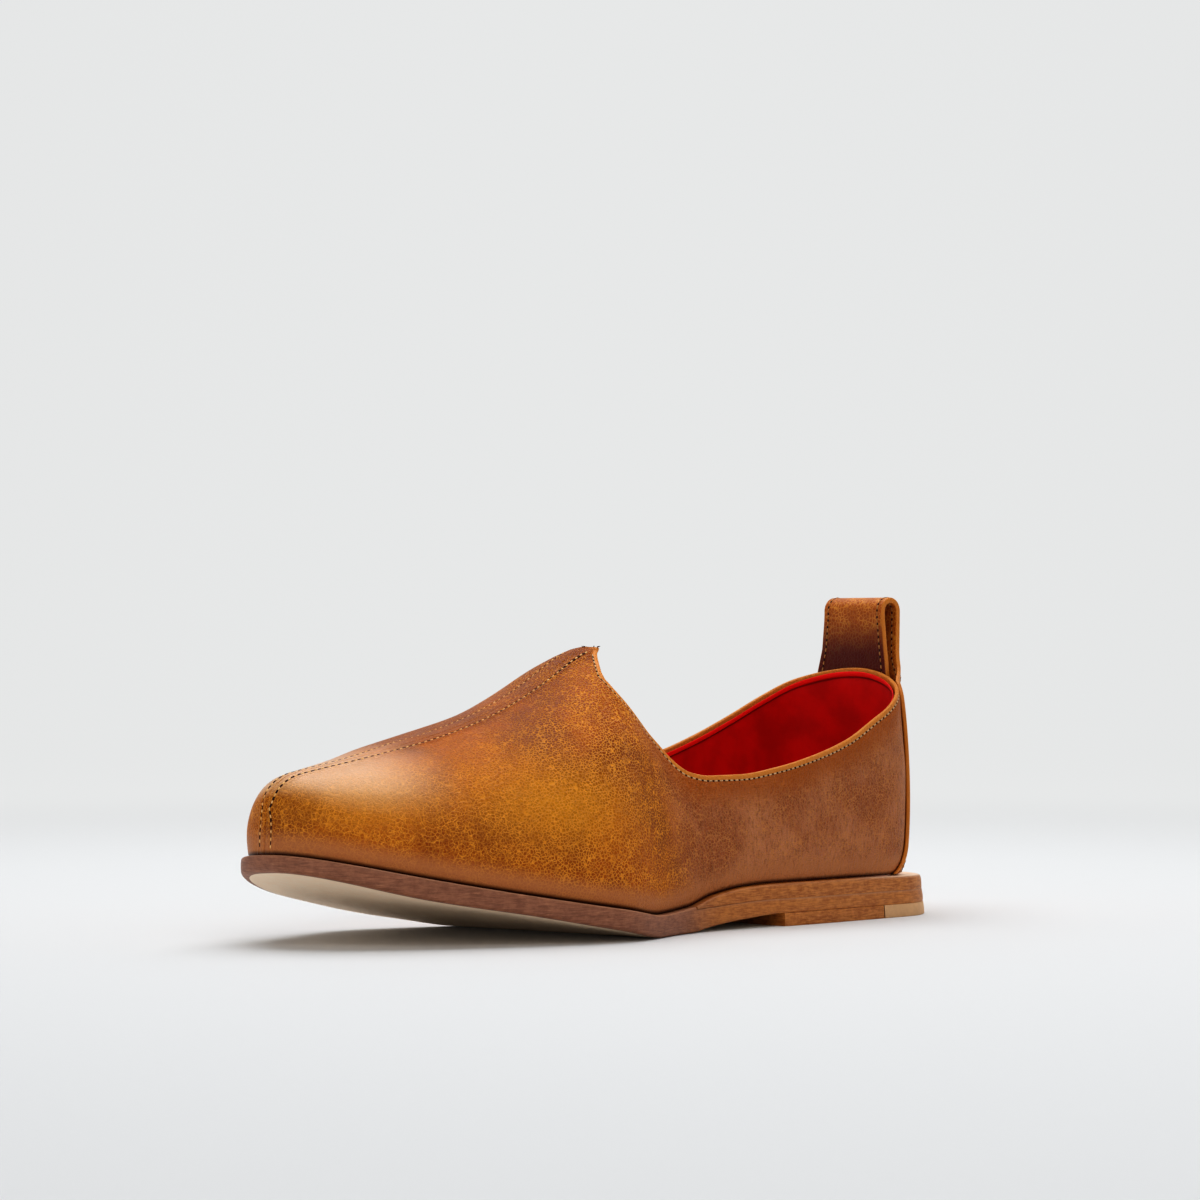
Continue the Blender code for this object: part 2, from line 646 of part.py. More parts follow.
def heel_plan(stations_lateral, stations_medial, z):
    """Plan points of a heel piece at a height: along the lateral side, then along the medial one."""
    points = []
    for side, stations in ((1, stations_lateral), (-1, stations_medial)):
        for station in stations:
            s, x = outline(np.float64(station), side, 0.0, float(sole_flare(station, z)))
            points.append((float(s), float(x), z))
    return points


def prism(name, lateral, medial, look):
    """A heel piece: the same plan at the floor and at its top, slightly flared."""
    low = heel_plan(lateral, medial, 0.0)
    high = heel_plan(lateral, medial, LIFT_TOP)
    size = len(low)
    faces = [list(range(size))[::-1], [size + k for k in range(size)]]
    for k in range(size):
        n = (k + 1) % size
        faces.append([k, n, n + size, k + size])
    return make_object(name, np.array(low + high), faces, look)


def make_heel(lift_look, tip_look):
    """The heel lift, and the rubber tip let into its outer rear corner along a slanting cut."""
    half_cut = 0.22
    back = heel_stations(SEAT_SHARES, 0.0, (SEAT_ROUND, SEAT_POWER))
    medial_half = float(last("medial", 5.0)) + RAND
    centre = float(last("centre", 5.0))

    def at_x(x):
        return heel_stations(((centre - x) / medial_half,), 0.0, (SEAT_ROUND, SEAT_POWER))[0]

    lift_cut, tip_cut = TIP_STATION + half_cut, TIP_STATION - half_cut
    lift_back, tip_back = at_x(TIP_X - half_cut), at_x(TIP_X + half_cut)
    lateral = [BREAST, 80.0, 66.0, 52.0, lift_cut]
    medial = [lift_back] + [s for s in back if s > lift_back + 0.05] + [SEAT_ROUND, 38.0, 52.0, 66.0, 80.0, BREAST]
    lift = prism("heel_lift", lateral, medial, lift_look)
    corner = [tip_cut, SEAT_ROUND] + back[::-1]
    behind = [s for s in back[1:] if s < tip_back - 0.02] + [tip_back]
    tip = prism("heel_tip", corner, behind, tip_look)
    return lift, tip


def make_insole(look):
    """The insole: a thin board on the sole, inside the upper's foot."""
    back = LEDGE + INSOLE_INSET
    front = LENGTH - TOE_GAP - INSOLE_INSET
    stations = heel_stations((0.0, 0.25, 0.48, 0.68, 0.84, 0.95), back)
    stations += list(np.linspace(back + HEEL_ROUND + 6.0, front - TOE_ROUND, 20))
    stations += toe_stations((0.96, 0.88, 0.78, 0.66, 0.52, 0.36, 0.18, 0.0), front)
    shares = ACROSS
    rings = []
    for station in stations:
        ring = []
        ends = [last("centre", station) + side * half_width(station, side, -INSOLE_INSET, back, front)
                for side in (1, -1)]
        for thick, order in ((INSOLE_THICK, 1.0), (0.0, -1.0)):
            for share in shares:
                x = ends[0] + (ends[1] - ends[0]) * (1.0 + share * order) / 2.0
                turned = float(station + heel_turn(station, x))
                ring.append((turned, float(x), float(seat_height(turned, x)) + thick))
        rings.append(ring)
    rings = np.array(rings)
    return make_object("insole", rings.reshape(-1, 3), ring_faces(rings, False, False), look, 50.0)


def plan_middle():
    """Middle of the sole's plan across the shoe."""
    stations = np.linspace(1.0, LENGTH - 1.0, 600)
    lateral = outline(stations, 1, 0.0)[1].max()
    medial = outline(stations, -1, 0.0)[1].min()
    return float(lateral + medial) / 2.0


def clear_scene():
    for item in list(bpy.data.objects):
        bpy.data.objects.remove(item, do_unlink=True)


PLAN_MIDDLE = plan_middle()


def main():
    clear_scene()
    tan = material("grained_tan_leather", (0.36, 0.15, 0.035), 0.45)
    edge = material("burnished_sole_leather", (0.16, 0.075, 0.04), 0.5)
    stack = material("stacked_heel_leather", (0.30, 0.14, 0.06), 0.5)
    rubber = material("tan_heel_rubber", (0.36, 0.24, 0.13), 0.6)
    board = material("insole_leather", (0.45, 0.28, 0.14), 0.6)
    make_upper(tan)
    make_back_strip(tan)
    make_pull_loop(tan)
    make_outsole(edge)
    make_wedge(stack)
    make_heel(stack, rubber)
    make_insole(board)


main()
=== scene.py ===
"""Khussa, dressed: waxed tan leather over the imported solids, with red lining, thread and a leather sole.

Sizes are in millimetres and become metres when a mesh is made.  A station is the distance along the
shoe from the back of the heel, x is positive towards the outer (lateral) side, z is up from the floor.
"""

import math

import bmesh
import bpy
import numpy as np
from mathutils.bvhtree import BVHTree
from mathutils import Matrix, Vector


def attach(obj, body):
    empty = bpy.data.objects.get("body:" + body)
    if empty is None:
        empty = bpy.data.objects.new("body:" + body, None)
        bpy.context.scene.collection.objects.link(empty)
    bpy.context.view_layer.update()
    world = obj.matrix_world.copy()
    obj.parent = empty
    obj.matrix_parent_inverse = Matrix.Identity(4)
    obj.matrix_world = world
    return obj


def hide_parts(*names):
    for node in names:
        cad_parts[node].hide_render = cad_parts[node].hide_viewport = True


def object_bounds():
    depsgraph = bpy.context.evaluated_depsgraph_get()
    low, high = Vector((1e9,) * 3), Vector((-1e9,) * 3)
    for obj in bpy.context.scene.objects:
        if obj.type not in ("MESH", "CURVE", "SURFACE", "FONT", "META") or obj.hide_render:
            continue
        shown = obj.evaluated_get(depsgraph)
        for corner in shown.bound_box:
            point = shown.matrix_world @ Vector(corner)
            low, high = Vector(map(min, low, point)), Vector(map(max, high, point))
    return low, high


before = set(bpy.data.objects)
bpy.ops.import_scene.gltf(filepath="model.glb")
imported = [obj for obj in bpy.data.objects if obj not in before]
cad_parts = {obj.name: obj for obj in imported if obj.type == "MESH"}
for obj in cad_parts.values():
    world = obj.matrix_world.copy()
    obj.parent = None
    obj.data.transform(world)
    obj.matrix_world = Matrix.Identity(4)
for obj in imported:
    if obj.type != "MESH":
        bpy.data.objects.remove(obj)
CAD_LOW, CAD_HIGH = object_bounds()

# ---- the last and the sole, as in the solids ------------------------------------------------------
LENGTH = 1000.0 * (CAD_HIGH.y - CAD_LOW.y)
LEDGE, TOE_GAP, RAND = 17.4, 1.2, 1.0
HEEL_FLARE, GAP, JOINT = 1.2, 0.3, 0.05
THROAT, BACK_PEAK = 163.3, 90.5
HEEL_ROUND, HEEL_POWER = 24.3, 3.1
SEAT_ROUND, SEAT_POWER = 27.0, 2.6
HEEL_TURN = 0.07
TOE_ROUND, TOE_POWER = 56.0, 2.46
FRONT_ROUND, FRONT_SHARE, FRONT_POWER = 10.0, 0.64, 2.2
FLEX_SKEW = 0.19
TUCK, TUCK_HEIGHT = 2.2, 12.0
TOE_LEAN, BACK_BULGE = 1.2, 4.9
SEAM_FOOT, SEAM_RAISE, SEAM_GROOVE = 2.7, 0.55, 0.6
BEAK, BEAK_HALF = 8.6, 12.3
BEAK_TIP, BEAK_FADE = 1.8, 15.0
STRAP_X, STRAP_FOOT, LOOP_FOOT, LOOP_TOP = -6.9, 15.5, 67.2, 117.5
LIFT_TOP, BREAST = 4.66, 92.5
TIP_STATION, TIP_X = 38.0, -11.0
WEDGE_FRONT = 138.0
INSOLE_THICK, INSOLE_INSET = 2.5, 4.9

# leather, lining and thread
LEATHER = 1.5             # the outer leather's own thickness
RIM_ROUND = 0.65          # how far the collar's rounded edge stands up
STITCH_IN = 1.4           # stitch rows run this far from the rim
SEAM_STITCH, SEAM_SPREAD = 2.9, 4.0       # from the centre seam; the inner row spreads over the vamp
STRAP_STITCH = 2.4        # and from the strap's edges
STITCH_PITCH, SEAM_PITCH, STRAP_PITCH = 2.3, 2.5, 2.5
THREAD_WIDTH, THREAD_HIGH = 0.58, 0.42
HOLE_WIDE, HOLE_HIGH = 0.85, 0.20
BEAD_SIDES = 7            # flats round a bead of thread
LINING_TOP = 0.6          # the lining stops this far below the rim

LAST_COLUMNS = ("station", "lateral", "medial", "centre", "ridge", "ridge_x", "seam_x",
                "crown_lateral", "crown_medial", "wall")
LAST = (
    (11.0, 33.0, 30.5, -4.5, 149.0, -4.5, -4.5, 2.30, 2.1, 2.40),
    (45.0, 34.3, 32.3, -3.0, 144.5, -3.0, 0.0, 2.40, 2.0, 2.42),
    (80.0, 35.4, 32.6, -1.5, 133.8, -1.5, 3.0, 2.20, 1.9, 2.38),
    (115.0, 35.1, 33.0, 0.0, 109.3, 1.0, 5.4, 1.45, 1.8, 2.20),
    (140.0, 38.1, 35.8, 0.2, 97.0, 3.2, 5.5, 0.95, 1.7, 2.10),
    (156.0, 43.2, 39.8, 0.8, 98.9, 2.8, 4.9, 1.33, 2.05, 2.12),
    (175.0, 50.0, 43.8, 1.8, 90.1, 0.4, 4.0, 1.95, 2.6, 2.17),
    (200.0, 51.8, 48.2, -0.9, 77.4, -0.8, 4.0, 2.25, 2.5, 2.21),
    (225.0, 47.3, 48.3, -4.2, 69.6, -3.9, 3.2, 2.22, 2.9, 2.30),
    (255.0, 38.3, 37.8, -6.2, 62.6, -5.5, -0.8, 2.20, 2.4, 2.42),
    (289.0, 30.9, 34.6, -8.2, 55.1, -8.2, -8.2, 2.55, 2.1, 2.64),
)
SOLE_COLUMNS = ("station", "tread", "seat", "wedge")
SOLE = (
    (0.0, 4.7, 14.8, 4.6),
    (60.0, 4.7, 15.5, 5.2),
    (95.0, 4.7, 15.4, 5.0),
    (110.0, 3.6, 14.8, 4.7),
    (128.0, 1.9, 12.7, 3.4),
    (146.0, 0.0, 9.1, 0.5),
    (168.0, 0.0, 8.1, 0.5),
    (195.0, 4.0, 11.6, 0.5),
    (225.0, 9.8, 16.7, 0.5),
    (258.0, 16.2, 23.5, 0.5),
    (290.0, 26.0, 31.7, 0.5),
)
COLLAR_COLUMNS = ("station", "lateral", "medial")
COLLAR = (
    (16.0, 81.6, 86.8),
    (24.0, 80.3, 85.6),
    (38.0, 74.2, 80.4),
    (56.0, 65.0, 72.4),
    (74.0, 59.5, 65.4),
    (92.0, 55.9, 60.1),
    (110.0, 53.7, 56.9),
    (124.0, 53.6, 55.9),
    (131.0, 54.9, 56.9),
    (135.0, 57.2, 58.8),
    (139.0, 61.1, 62.2),
    (143.0, 65.4, 66.1),
    (148.0, 69.8, 70.3),
    (153.0, 74.9, 75.2),
    (158.0, 80.4, 80.6),
    (161.0, 84.4, 84.5),
    (163.0, 89.2, 89.2),
)
# back strap: half width, distance of its outer face behind the upper and thickness, up the outer leg
# and then up the inner one
STRAP_COLUMNS = ("height", "half", "behind", "leather")
STRAP = (
    (15.0, 23.8, 1.9, 1.6),
    (53.0, 22.3, 1.9, 1.6),
    (61.0, 20.0, 2.2, 1.6),
    (67.2, 18.3, 3.6, 1.6),
    (76.0, 17.9, 4.7, 1.9),
    (86.0, 17.6, 6.2, 2.1),
    (102.0, 16.0, 9.6, 2.1),
    (112.0, 15.2, 10.6, 2.1),
    (118.0, 15.2, 10.6, 2.1),
)
INNER = (
    (67.2, 17.9, 0.42, 1.3),
    (76.0, 17.9, 0.42, 1.9),
    (86.0, 17.6, 0.42, 2.1),
    (102.0, 16.0, 0.42, 2.1),
    (112.0, 15.2, 0.42, 2.1),
    (118.0, 15.2, 0.42, 2.1),
)
# how far the strap reaches round the outer corner of the heel, where it lies close to the upper
NEAR_COLUMNS = ("height", "half")
NEAR = (
    (15.0, 34.0),
    (20.0, 32.6),
    (28.0, 31.2),
    (45.0, 30.3),
    (60.0, 29.6),
    (72.0, 28.8),
    (80.0, 27.6),
    (85.0, 25.0),
    (90.0, 20.0),
    (95.0, 17.3),
    (102.0, 16.0),
    (112.0, 15.2),
    (118.0, 15.2),
)
# soft folds in the upper: side, the station and height of one end and of the other, depth, width
CREASES = (
    (1, 141.0, 52.0, 138.0, 22.0, 0.30, 2.0),
    (1, 135.0, 48.0, 133.0, 20.0, 0.26, 1.8),
    (1, 129.0, 46.0, 128.0, 18.0, 0.22, 1.7),
    (1, 147.0, 58.0, 143.0, 30.0, 0.24, 2.2),
    (1, 123.0, 44.0, 121.0, 24.0, 0.16, 1.6),
    (1, 158.0, 76.0, 172.0, 58.0, 0.34, 3.6),
    (1, 164.0, 84.0, 184.0, 66.0, 0.30, 4.2),
    (1, 153.0, 66.0, 160.0, 44.0, 0.26, 3.4),
    (1, 176.0, 76.0, 196.0, 60.0, 0.22, 4.5),
    (1, 90.0, 44.0, 87.0, 22.0, 0.12, 2.6),
    (1, 62.0, 48.0, 58.0, 26.0, 0.12, 2.8),
    (-1, 142.0, 54.0, 138.0, 22.0, 0.30, 2.0),
    (-1, 134.0, 48.0, 133.0, 20.0, 0.24, 1.8),
    (-1, 126.0, 46.0, 126.0, 20.0, 0.20, 1.7),
    (-1, 158.0, 76.0, 170.0, 56.0, 0.32, 3.6),
    (-1, 164.0, 84.0, 182.0, 66.0, 0.28, 4.2),
    (-1, 86.0, 46.0, 84.0, 24.0, 0.12, 2.6),
)
FINE = 240                # points for measuring along a section
LEG_ROWS, BEND_ROWS = 90, 22              # rows up the strap's outer leg and over its bend


def smooth_step(value, low, high):
    """0 below low, 1 above high, and between them a cubic that is level at both ends."""
    t = np.clip((value - low) / (high - low), 0.0, 1.0)
    return t * t * (3.0 - 2.0 * t)


def column(table, names, name):
    """One named column of a table, as an array."""
    return np.array([row[names.index(name)] for row in table])


def smooth_through(at, knots, values):
    """Natural cubic spline through the rows of a table: no bend at its two ends."""
    count = len(knots)
    step = np.diff(knots)
    matrix = np.eye(count)
    right = np.zeros(count)
    for k in range(1, count - 1):
        matrix[k, k - 1:k + 2] = step[k - 1], 2.0 * (step[k - 1] + step[k]), step[k]
        right[k] = 6.0 * ((values[k + 1] - values[k]) / step[k] - (values[k] - values[k - 1]) / step[k - 1])
    bend = np.linalg.solve(matrix, right)
    at = np.clip(np.asarray(at, float), knots[0], knots[-1])
    k = np.clip(np.searchsorted(knots, at, side="right") - 1, 0, count - 2)
    t = at - knots[k]
    h = step[k]
    slope = (values[k + 1] - values[k]) / h - h * (2.0 * bend[k] + bend[k + 1]) / 6.0
    return values[k] + t * slope + t * t * bend[k] / 2.0 + t ** 3 * (bend[k + 1] - bend[k]) / (6.0 * h)


def level_through(at, knots, values):
    """Cubic curve through the rows that never overshoots them: two equal rows give a flat stretch."""
    step = np.diff(knots)
    rise = np.diff(values) / step
    slope = np.zeros(len(knots))
    same = rise[:-1] * rise[1:] > 0.0
    safe = np.where(same, rise[:-1] + rise[1:], 1.0)
    slope[1:-1] = np.where(same, 2.0 * rise[:-1] * rise[1:] / safe, 0.0)
    slope[0], slope[-1] = rise[0], rise[-1]
    at = np.clip(np.asarray(at, float), knots[0], knots[-1])
    k = np.clip(np.searchsorted(knots, at, side="right") - 1, 0, len(knots) - 2)
    h = step[k]
    t = (at - knots[k]) / h
    return ((1.0 + 2.0 * t) * (1.0 - t) ** 2 * values[k] + t * (1.0 - t) ** 2 * h * slope[k]
            + t * t * (3.0 - 2.0 * t) * values[k + 1] + t * t * (t - 1.0) * h * slope[k + 1])


def last(name, station):
    """A column of the last, read at any station."""
    return smooth_through(station, column(LAST, LAST_COLUMNS, "station"), column(LAST, LAST_COLUMNS, name))


def level_column(table, names, name, at):
    """A column of a table read at any place along its first one, level between two equal rows."""
    return level_through(at, column(table, names, names[0]), column(table, names, name))


def side_name(side):
    """The column's name for a side: +1 is lateral, -1 medial."""
    return "lateral" if side > 0 else "medial"


def closing(distance, radius, power):
    """Share of the full width at a distance from a rounded end: 0 at the end, 1 past the radius."""
    t = np.clip(1.0 - np.asarray(distance, float) / radius, 0.0, 1.0)
    return np.maximum(1.0 - t ** power, 0.0) ** (1.0 / power)


def distance_at(share, radius, power):
    """The distance from a rounded end at which it reaches this share of its width."""
    return radius * (1.0 - np.maximum(1.0 - np.asarray(share) ** power, 0.0) ** (1.0 / power))


def swing_stations(count, start, radius, power):
    """Stations from the start of a rounded end, evenly swung round it."""
    return distance_at(np.sin(np.linspace(0.0, math.pi / 2.0, count)), radius, power) + start


def half_width(station, side, grow=0.0, back=LEDGE, front=LENGTH - TOE_GAP, rear=(HEEL_ROUND, HEEL_POWER)):
    """Half width of the plan to one side: the last's row, closed by a round heel and a round toe."""
    width = last(side_name(side), station) + grow
    return width * closing(station - back, *rear) * closing(front - station, TOE_ROUND, TOE_POWER)


def edge_x(station, side):
    """Where the upper's foot meets the sole."""
    return last("centre", station) + side * half_width(station, side)


def flexed(station, x):
    """The station at which the sole's tables are read: the flex line is skewed across the forefoot."""
    fade = np.clip((station - 105.0) / 50.0, 0.0, 1.0)
    return station + FLEX_SKEW * x * fade * fade * (3.0 - 2.0 * fade)


def tread_height(station, x):
    """The tread's height above the floor."""
    return level_column(SOLE, SOLE_COLUMNS, "tread", flexed(station, x))


def seat_height(station, x):
    """The height of the sole's top, on which the upper stands."""
    return level_column(SOLE, SOLE_COLUMNS, "seat", flexed(station, x))


def arch_height(station, side):
    """Height of the section's crest above its foot, cut down towards the toe's front face."""
    full = last("ridge", station) - seat_height(station, edge_x(station, side))
    front = closing(LENGTH - TOE_GAP - station, FRONT_ROUND, FRONT_POWER)
    return full * (FRONT_SHARE + (1.0 - FRONT_SHARE) * front)


def lean(station, height):
    """Shift along the shoe: the heel's back bulges rearwards, the toe's front leans back."""
    share = np.clip(height / 75.0, 0.0, 1.0)
    heel = np.clip(1.0 - (station - LEDGE) / 60.0, 0.0, 1.0) ** 1.5
    toe = np.clip(1.0 - (LENGTH - TOE_GAP - station) / 70.0, 0.0, 1.0) ** 2
    bulge = BACK_BULGE * np.sin(math.pi * 0.78 * share ** 0.62)
    return -bulge * heel - TOE_LEAN * toe * np.clip(height / 25.0, 0.0, 2.0) ** 1.3


def heel_turn(station, x):
    """Shift along the shoe that turns the heel's back; it fades out by the waist."""
    fade = np.clip(1.0 - (station - LEDGE) / 60.0, 0.0, 1.0) ** 1.5
    return -HEEL_TURN * (x - last("centre", station)) * fade


def section_point(station, side, turn):
    """Point of the last's section: turn 0 is the foot, a quarter turn is the crest.

    Each side is a superellipse whose crown and wall have their own powers; its crest is carried over
    to the ridge, and its foot is tucked in above the sole.
    """
    crown = last("crown_" + side_name(side), station)
    wall = last("wall", station)
    width = half_width(station, side)
    centre = last("centre", station)
    height = arch_height(station, side) * np.sin(turn) ** (2.0 / wall)
    x = centre + side * width * np.maximum(np.cos(turn), 0.0) ** (2.0 / crown)
    x = x + (last("ridge_x", station) - centre) * np.sin(turn) ** 3
    tuck = TUCK * np.clip(1.0 - height / TUCK_HEIGHT, 0.0, 1.0) ** 2
    x = x - side * tuck * np.minimum(width / 15.0, 1.0)
    z = seat_height(station, edge_x(station, side)) + height
    return station + lean(station, height) + heel_turn(station, x), x, z


def around(station, side, turn):
    """Point of the section counted from one side's foot: past a quarter turn it is on the other side."""
    near = section_point(station, side, np.minimum(turn, math.pi / 2.0))
    far = section_point(station, -side, np.minimum(math.pi - turn, math.pi / 2.0))
    past = turn > math.pi / 2.0
    return np.stack([np.where(past, f, n) for n, f in zip(near, far)], axis=-1)


def collar_height(station, side):
    """The rim along one side, rising from the heel's corners to a low point at the centre back."""
    corner = 1.0 - closing(station - LEDGE, HEEL_ROUND, HEEL_POWER) ** 2
    rim, start = (level_column(COLLAR, COLLAR_COLUMNS, side_name(side), at) for at in (station, LEDGE))
    return rim + (BACK_PEAK - start) * corner


def end_turns(station, side):
    """How far round each section goes: to the rim behind the throat, to the seam ahead of it."""
    rise = collar_height(station, side) - seat_height(station, edge_x(station, side))
    share = np.clip(rise / arch_height(station, side), 0.0, 1.0)
    rim = np.arcsin(share ** (last("wall", station) / 2.0))
    turn = np.linspace(0.0, math.pi, 2 * FINE)
    across = around(station[:, None], side, turn[None, :])[..., 1]
    away = (across - last("seam_x", station)[:, None]) * side
    k = np.argmax(away <= 0.0, axis=1)
    row = np.arange(len(station))
    before, after = away[row, k - 1], away[row, k]
    seam = turn[k - 1] + (turn[k] - turn[k - 1]) * before / np.maximum(before - after, 1e-9)
    seam = np.where(k > 0, seam, math.pi / 2.0)
    return np.where(station < THROAT, rim, seam)


def throat_shift(station, off):
    """The throat's middle is a beak: points near the seam are drawn back along the shoe."""
    reach = BEAK * np.clip(1.0 - off / BEAK_HALF, 0.0, 1.0) ** 2
    reach = reach + BEAK_TIP * np.clip(1.0 - off / SEAM_FOOT, 0.0, 1.0) ** 2
    return -reach * np.clip(1.0 - (station - THROAT) / BEAK_FADE, 0.0, 1.0) ** 2


def outline(station, side, inset, flare=0.0):
    """A point of the sole's plan, pulled in by an inset all round: station and x."""
    back = inset + HEEL_FLARE - flare
    front = LENGTH - inset
    start = np.maximum(1.0 - station / SEAT_ROUND, 0.0)
    end = np.maximum(1.0 - (LENGTH - station) / TOE_ROUND, 0.0)
    moved = station + back * start - inset * end
    width = half_width(moved, side, RAND - inset + flare, back, front, (SEAT_ROUND, SEAT_POWER))
    return moved, last("centre", moved) + side * width


def plan_middle():
    """Middle of the sole's plan across the shoe."""
    stations = np.linspace(1.0, LENGTH - 1.0, 600)
    return float(outline(stations, 1, 0.0)[1].max() + outline(stations, -1, 0.0)[1].min()) / 2.0


PLAN_MIDDLE = plan_middle()


# ---- the upper as a fine grid ---------------------------------------------------------------------
RISE_COUNT = 74
END_MARKS = (12.0, 11.0, 10.0, 9.2, 8.4, 7.6, 6.9, 6.2, 5.6, 5.0, 4.5, 4.0, 3.6, 3.2, SEAM_STITCH, 2.6,
             2.3, 2.0, 1.7, STITCH_IN, 1.1, 0.8, 0.5, 0.25, 0.0)
LINING_MARKS = (16.0, 13.0, 10.5, 8.5, 7.0, 6.0, 5.2, 4.6, 4.1, 3.7, 3.4, 3.1, 2.8, 2.5, 2.2, 1.9, 1.6,
                1.3, 1.0, 0.8, 0.6)
BEAK_ROWS = 22
CLEAR_OF_FOOT = 50.0      # written as the height above the foot where the painted shadow at the foot mustn't show


def station_list(density):
    """Stations of the rows, closer together where an end is round; density 1 is about 1 mm."""

    def count(full):
        return max(4, int(full * density))

    heel = swing_stations(count(56), LEDGE, HEEL_ROUND, HEEL_POWER)[:-1]
    waist = np.linspace(LEDGE + HEEL_ROUND, 128.0, count(70))[:-1]
    collar = np.linspace(128.0, THROAT - 0.4, count(46))
    throat = np.linspace(THROAT, 180.0, count(22))
    vamp = np.linspace(180.0, LENGTH - TOE_GAP - TOE_ROUND, count(46))[1:-1]
    swing = np.sin(np.linspace(math.pi / 2.0, 0.0, count(84))) ** 1.35
    toe = LENGTH - TOE_GAP - distance_at(swing, TOE_ROUND, TOE_POWER)
    return np.concatenate([heel, waist, collar, throat, vamp, toe]), len(heel) + len(waist) + len(collar)


def side_rows(side, stations, split, rise_count, end_marks):
    """One side's rows of (station, turn): evenly divided up from the foot, then at set distances from
    the rim or the seam.  Between the last rim row and the throat the two rows are blended."""
    turn = end_turns(stations, side)[:, None] * np.linspace(0.0, 1.0, FINE)[None, :]
    curve = around(stations[:, None], side, turn)
    steps = np.linalg.norm(np.diff(curve, axis=1), axis=-1)
    run = np.concatenate([np.zeros((len(stations), 1)), np.cumsum(steps, axis=1)], axis=1)
    rise = np.linspace(0.0, 1.0, rise_count, endpoint=False)[None, :] * (run[:, -1:] - end_marks[0])
    marks = np.concatenate([rise, run[:, -1:] - np.array(end_marks)[None, :]], axis=1)
    turn = np.stack([np.interp(m, r, t) for m, r, t in zip(marks, run, turn)])
    moved = np.repeat(stations[:, None], turn.shape[1], axis=1)
    off = np.abs(around(moved, side, turn)[..., 1] - last("seam_x", moved))
    moved = moved + np.where(moved >= THROAT, throat_shift(moved, off), 0.0)
    t = np.linspace(0.0, 1.0, BEAK_ROWS + 2)[1:-1, None]
    blended = [a[split - 1] * (1.0 - t) + a[split] * t for a in (moved, turn)]
    return [np.concatenate([a[:split], b, a[split:]]) for a, b in zip((moved, turn), blended)]


def grid_quads(grid, flip=False):
    """Quads of a grid of indices; flip turns them over."""
    quad = np.stack([grid[:-1, :-1], grid[:-1, 1:], grid[1:, 1:], grid[1:, :-1]], axis=-1).reshape(-1, 4)
    return quad[:, ::-1] if flip else quad


def ring_grid(rows, size):
    """Indices of rows of points, each row closed into a ring."""
    index = np.arange(rows * size).reshape(rows, size)
    return np.concatenate([index, index[:, :1]], axis=1)


def joined(parts):
    """Several pairs of points and quads as one pair."""
    starts = np.cumsum([0] + [len(points) for points, _ in parts[:-1]])
    return (np.concatenate([points for points, _ in parts]),
            np.concatenate([quads + start for (_, quads), start in zip(parts, starts)]))


def quad_normals(points, quads):
    """Normals at the points: the mean of the quads round each, weighted by their size."""
    corner = points[quads]
    face = np.cross(corner[:, 2] - corner[:, 0], corner[:, 3] - corner[:, 1])
    normals = np.zeros_like(points)
    for k in range(4):
        np.add.at(normals, quads[:, k], face)
    return normals / np.maximum(np.linalg.norm(normals, axis=1), 1e-9)[:, None]


def last_normals(side, station, turn):
    """Outward normals of the last: its slope round the section crossed with its slope along the shoe."""
    along = around(station + 0.05, side, turn) - around(station - 0.05, side, turn)
    across = around(station, side, turn + 0.002) - around(station, side, np.maximum(turn - 0.002, 0.0))
    out = np.cross(across, along) * side
    return out / np.maximum(np.linalg.norm(out, axis=-1), 1e-9)[..., None]


def turned_out(points, quads, normals):
    """The same quads, turned over where one faces away from the skin's normals."""
    corner = points[quads]
    face = np.cross(corner[:, 2] - corner[:, 0], corner[:, 3] - corner[:, 1])
    wrong = np.sum(face * normals[quads].sum(axis=1), axis=1) < 0.0
    return np.where(wrong[:, None], quads[:, ::-1], quads)


def skin(density, rise_count, end_marks):
    """Both sides of the upper as one open skin: points, normals, index grids, side and throat row.

    The sides share their points at the centre back, at the nose and along the seam.  Round the beak
    the rows run close beside the rim, so there the normals are the last's own.
    """
    stations, split = station_list(density)
    grids, own = {}, {}
    for side in (1, -1):
        moved, turn = side_rows(side, stations, split, rise_count, end_marks)
        grids[side] = around(moved, side, turn)
        own[side] = last_normals(side, moved, turn)
    throat = split + BEAK_ROWS
    rows, across = grids[1].shape[:2]
    lateral = np.arange(rows * across).reshape(rows, across)
    medial = lateral + rows * across
    medial[0], medial[-1] = lateral[0], lateral[-1]
    medial[throat:, -1] = lateral[throat:, -1]
    points = np.concatenate([grids[1].reshape(-1, 3), grids[-1].reshape(-1, 3)])
    quads = np.concatenate([grid_quads(lateral), grid_quads(medial, True)])
    sides = np.repeat([1.0, -1.0], rows * across)
    normals = quad_normals(points, quads)
    beak = slice(split - 4, throat + 4)
    for side, index in ((1, lateral), (-1, medial)):
        normals[index[beak]] = own[side][beak]
    return points, normals, {1: lateral, -1: medial}, sides, throat


def rim_path(index, throat):
    """Indices of the rim from the beak's tip down the lateral side, round the heel and back up."""
    return np.concatenate([index[1][throat::-1, -1], index[-1][1:throat + 1, -1]])


